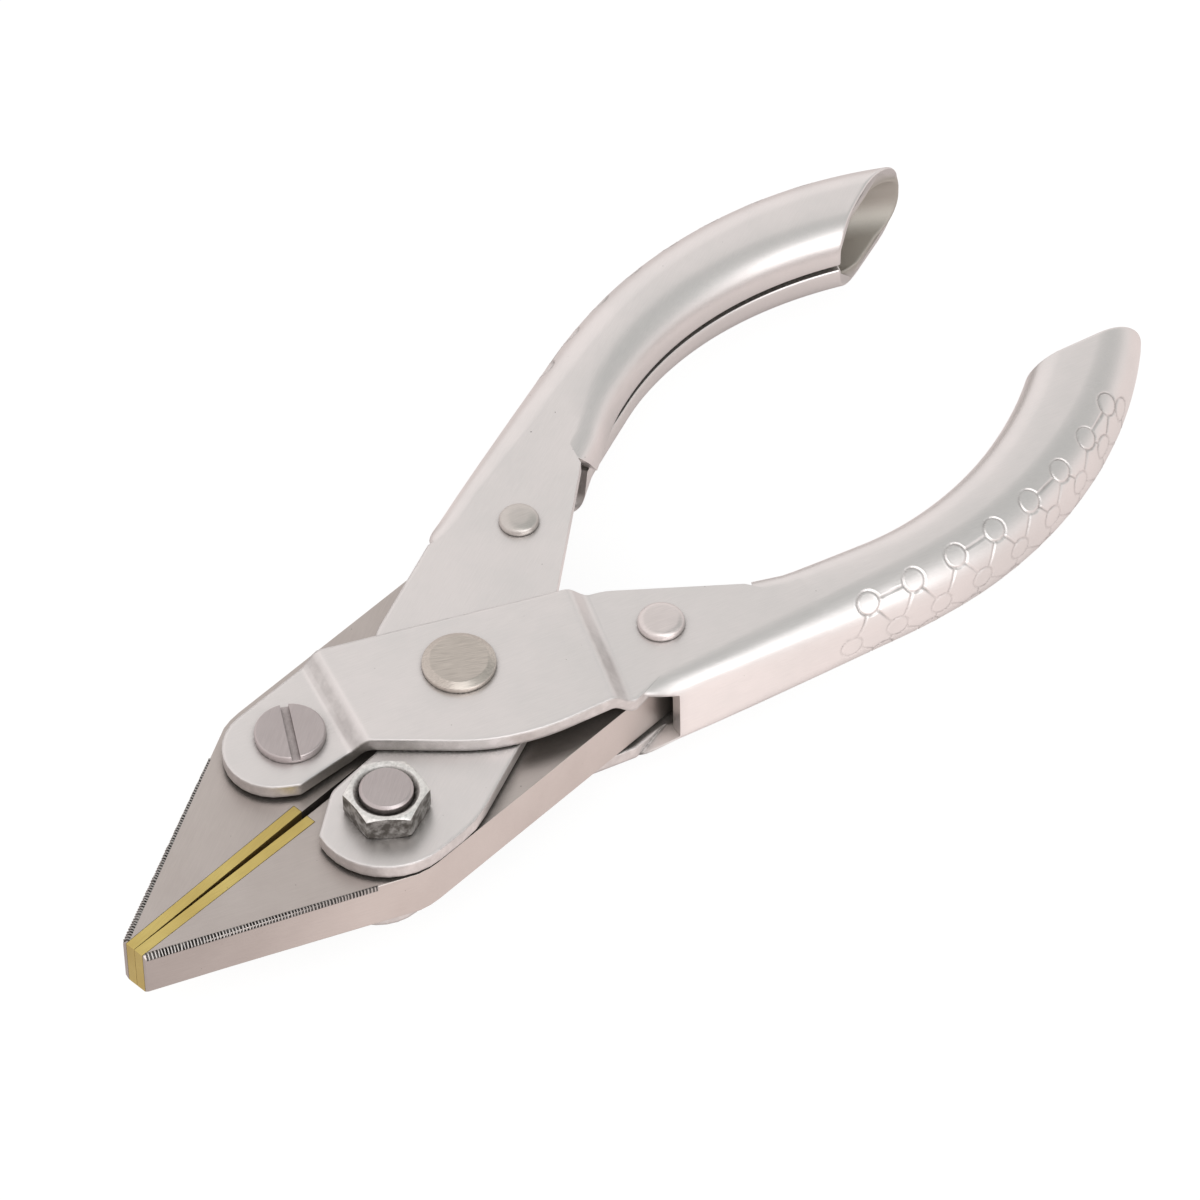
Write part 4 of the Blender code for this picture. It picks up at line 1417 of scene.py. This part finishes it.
@dataclass(frozen=True)
class Lamp:
    """A soft rectangular lamp aimed at the tool.

    Args:
        name: its name.
        direction: where it stands, seen from the tool.
        distance: how far away it stands, in metres.
        size: its width and height, in metres.
        radiance: how bright its face is.
    """

    name: str
    direction: Triple
    distance: float
    size: Pair
    radiance: float

    def add(self, target: Vector) -> None:
        """Adds the lamp, turned to the target.

        Args:
            target: the middle of the tool.
        """
        data = bpy.data.lights.new(self.name, "AREA")
        data.shape = "RECTANGLE"
        data.size, data.size_y = self.size
        data.energy = self.radiance * math.pi * self.size[0] * self.size[1]
        lamp = in_scene(self.name, data)
        aim = Vector(self.direction).normalized()
        lamp.location = target + aim * self.distance
        lamp.rotation_euler = aim.to_track_quat("Z", "Y").to_euler()


@dataclass
class Studio:
    """A white table in a pale tent, with soft lamps and a long lens.

    Args:
        frame: where the design frame stands.
        target: the place that the camera looks at, in the design frame.
        azimuth: the camera's turn round the tool.
        elevation: its height over the table, as an angle.
        roll: how far it leans.
        distance: how far from the target it stands, in metres.
        lens: its focal length, in millimetres.
        floor_size: the table's width, in metres.
        floor_drop: how far under the tool the table lies, in metres.
        table_steps: where the table that the metal mirrors gets brighter or dimmer, painted light
            and shade on its glow: the axis, from and to in metres, and the brightness before and
            after.
        table_reach: how near the tool the painted shadow on that table reaches, in millimetres.
        covered_glow: the brightness that the painted shadow falls to there.
        table_tint: the colour of the table that the metal mirrors.
        tent: the tent's colour, and the colour of its opening.
        opening: the direction of the tent's opening.
        opening_edge: the cosines where it starts and where it is full.
        lamps: the lamps.
    """

    frame: DesignFrame
    target: Triple = (21.84, -0.37, 0.0)
    azimuth: float = math.radians(-45.02)
    elevation: float = math.radians(49.37)
    roll: float = math.radians(-1.44)
    distance: float = 1.0171
    lens: float = 272.7
    floor_size: float = 3.0
    floor_drop: float = 0.0002
    table_steps: tuple[tuple[int, float, float, float, float], ...] = (
        (0, -0.073, -0.037, 0.63, 1.15),
        (0, -0.03, 0.05, 1.0, 0.66),
        (1, -0.002, 0.012, 1.0, 0.74),
    )
    table_reach: float = 10.0
    covered_glow: float = 0.35
    table_tint: Triple = (1.0, 0.895, 0.86)
    tent: tuple[Triple, Triple] = ((0.975, 0.935, 0.915), (0.56, 0.57, 0.555))
    opening: Triple = (0.45, -0.3, 0.84)
    opening_edge: Pair = (0.60, 0.87)
    lamps: tuple[Lamp, ...] = (
        Lamp("key_softbox", (-0.12, -0.82, 0.5), 0.75, (0.55, 0.62), 1.25),
        Lamp("high_softbox", (-0.27, -0.37, 0.89), 0.8, (0.44, 0.38), 1.1),
    )

    def camera(self) -> None:
        """Adds the camera."""
        data = bpy.data.cameras.new("studio_camera")
        data.sensor_width = 36.0
        data.lens = self.lens
        data.clip_end = 20.0
        camera = in_scene("studio_camera", data)
        placing = Matrix.Translation(self.frame.origin + Vector(self.target) * MM)
        turns = ((self.azimuth, "Z"), (math.pi / 2 - self.elevation, "X"), (self.roll, "Z"))
        for turn, axis in turns:
            placing = placing @ Matrix.Rotation(turn, 4, axis)
        camera.matrix_world = placing @ Matrix.Translation((0.0, 0.0, self.distance))
        bpy.context.scene.camera = camera

    def floor(self) -> None:
        """Adds the white table top."""
        shape = bmesh.new()
        bmesh.ops.create_grid(shape, x_segments=1, y_segments=1, size=self.floor_size / 2)
        mesh = mesh_of(shape, "table_top")
        mesh.materials.append(self.floor_material())
        table = in_scene("table_top", mesh)
        table.location.z = -self.floor_drop

    def floor_material(self) -> bpy.types.Material:
        """White paper that looks pure white to the camera and keeps a faint shadow.

        Returns:
            The material.
        """
        made = bpy.data.materials.new("white_paper")
        made.use_nodes = True
        sheet = NodeSheet(made.node_tree)
        made.node_tree.nodes.remove(made.node_tree.nodes["Principled BSDF"])
        where = sheet.add("SeparateXYZ", {0: sheet.get("TexCoord", output="Object")}).outputs
        # The glow that the metal mirrors gets painted light and shade along its axes, and a painted
        # shadow near the tool.
        lit = [sheet.between(where[axis], *step) for axis, *step in self.table_steps]
        covered = sheet.open_sky(self.table_reach, 4)
        lit.append(sheet.between(covered, *TABLE_OPENNESS, self.covered_glow, 1.0))
        tint = sheet.blend(sheet.times(*lit), (0.0, 0.0, 0.0), self.table_tint)
        rays = sheet.add("LightPath").outputs
        camera_ray = rays["Is Camera Ray"]
        paper = sheet.get("BsdfDiffuse", {"Color": (0.93, 0.89, 0.88)})
        faint = sheet.get("BsdfDiffuse", {"Color": (0.16, 0.16, 0.16)})
        glow = sheet.get("Emission", {"Color": sheet.blend(camera_ray, tint, (0.9, 0.9, 0.9))})
        seen = sheet.get("AddShader", {0: faint, 1: glow})
        direct = sheet.maths("MAXIMUM", camera_ray, rays["Is Glossy Ray"])
        pick = sheet.get("MixShader", {0: direct, 1: paper, 2: seen})
        sheet.feed(made.node_tree.nodes["Material Output"].inputs["Surface"], pick)
        return made

    def surroundings(self) -> None:
        """Lights the tool from a pale tent with a darker opening overhead."""
        world = bpy.data.worlds.new("pale_tent")
        bpy.context.scene.world = world
        world.use_nodes = True
        sheet = NodeSheet(world.node_tree)
        background = world.node_tree.nodes["Background"].inputs
        ways = {0: sheet.get("TexCoord", output="Generated"), 1: Vector(self.opening).normalized()}
        towards = sheet.get("VectorMath", ways, "Value", operation="DOT_PRODUCT")
        tent = sheet.blend(sheet.between(towards, *self.opening_edge), *self.tent)
        camera_ray = sheet.get("LightPath", output="Is Camera Ray")
        sheet.feed(background["Color"], sheet.blend(camera_ray, tent, (1.0, 1.0, 1.0)))
        background["Strength"].default_value = 1.0

    def build(self) -> None:
        """Adds the whole studio."""
        bpy.context.scene.view_settings.view_transform = "Standard"
        self.camera()
        self.floor()
        self.surroundings()
        for lamp in self.lamps:
            lamp.add(self.frame.origin)


def main() -> None:
    """Builds the tool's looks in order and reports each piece."""
    logging.basicConfig(level=logging.INFO, format="%(name)s: %(message)s")
    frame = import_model()
    nodes = frame["nodes"]
    design = DesignFrame.of_main_rivet()
    for half in Half:
        Handle(half, design).build(nodes)
        Jaw(half, design).build(nodes)
    Fasteners(design).build(nodes)
    Studio(design).build()


if __name__ == "__main__":
    main()
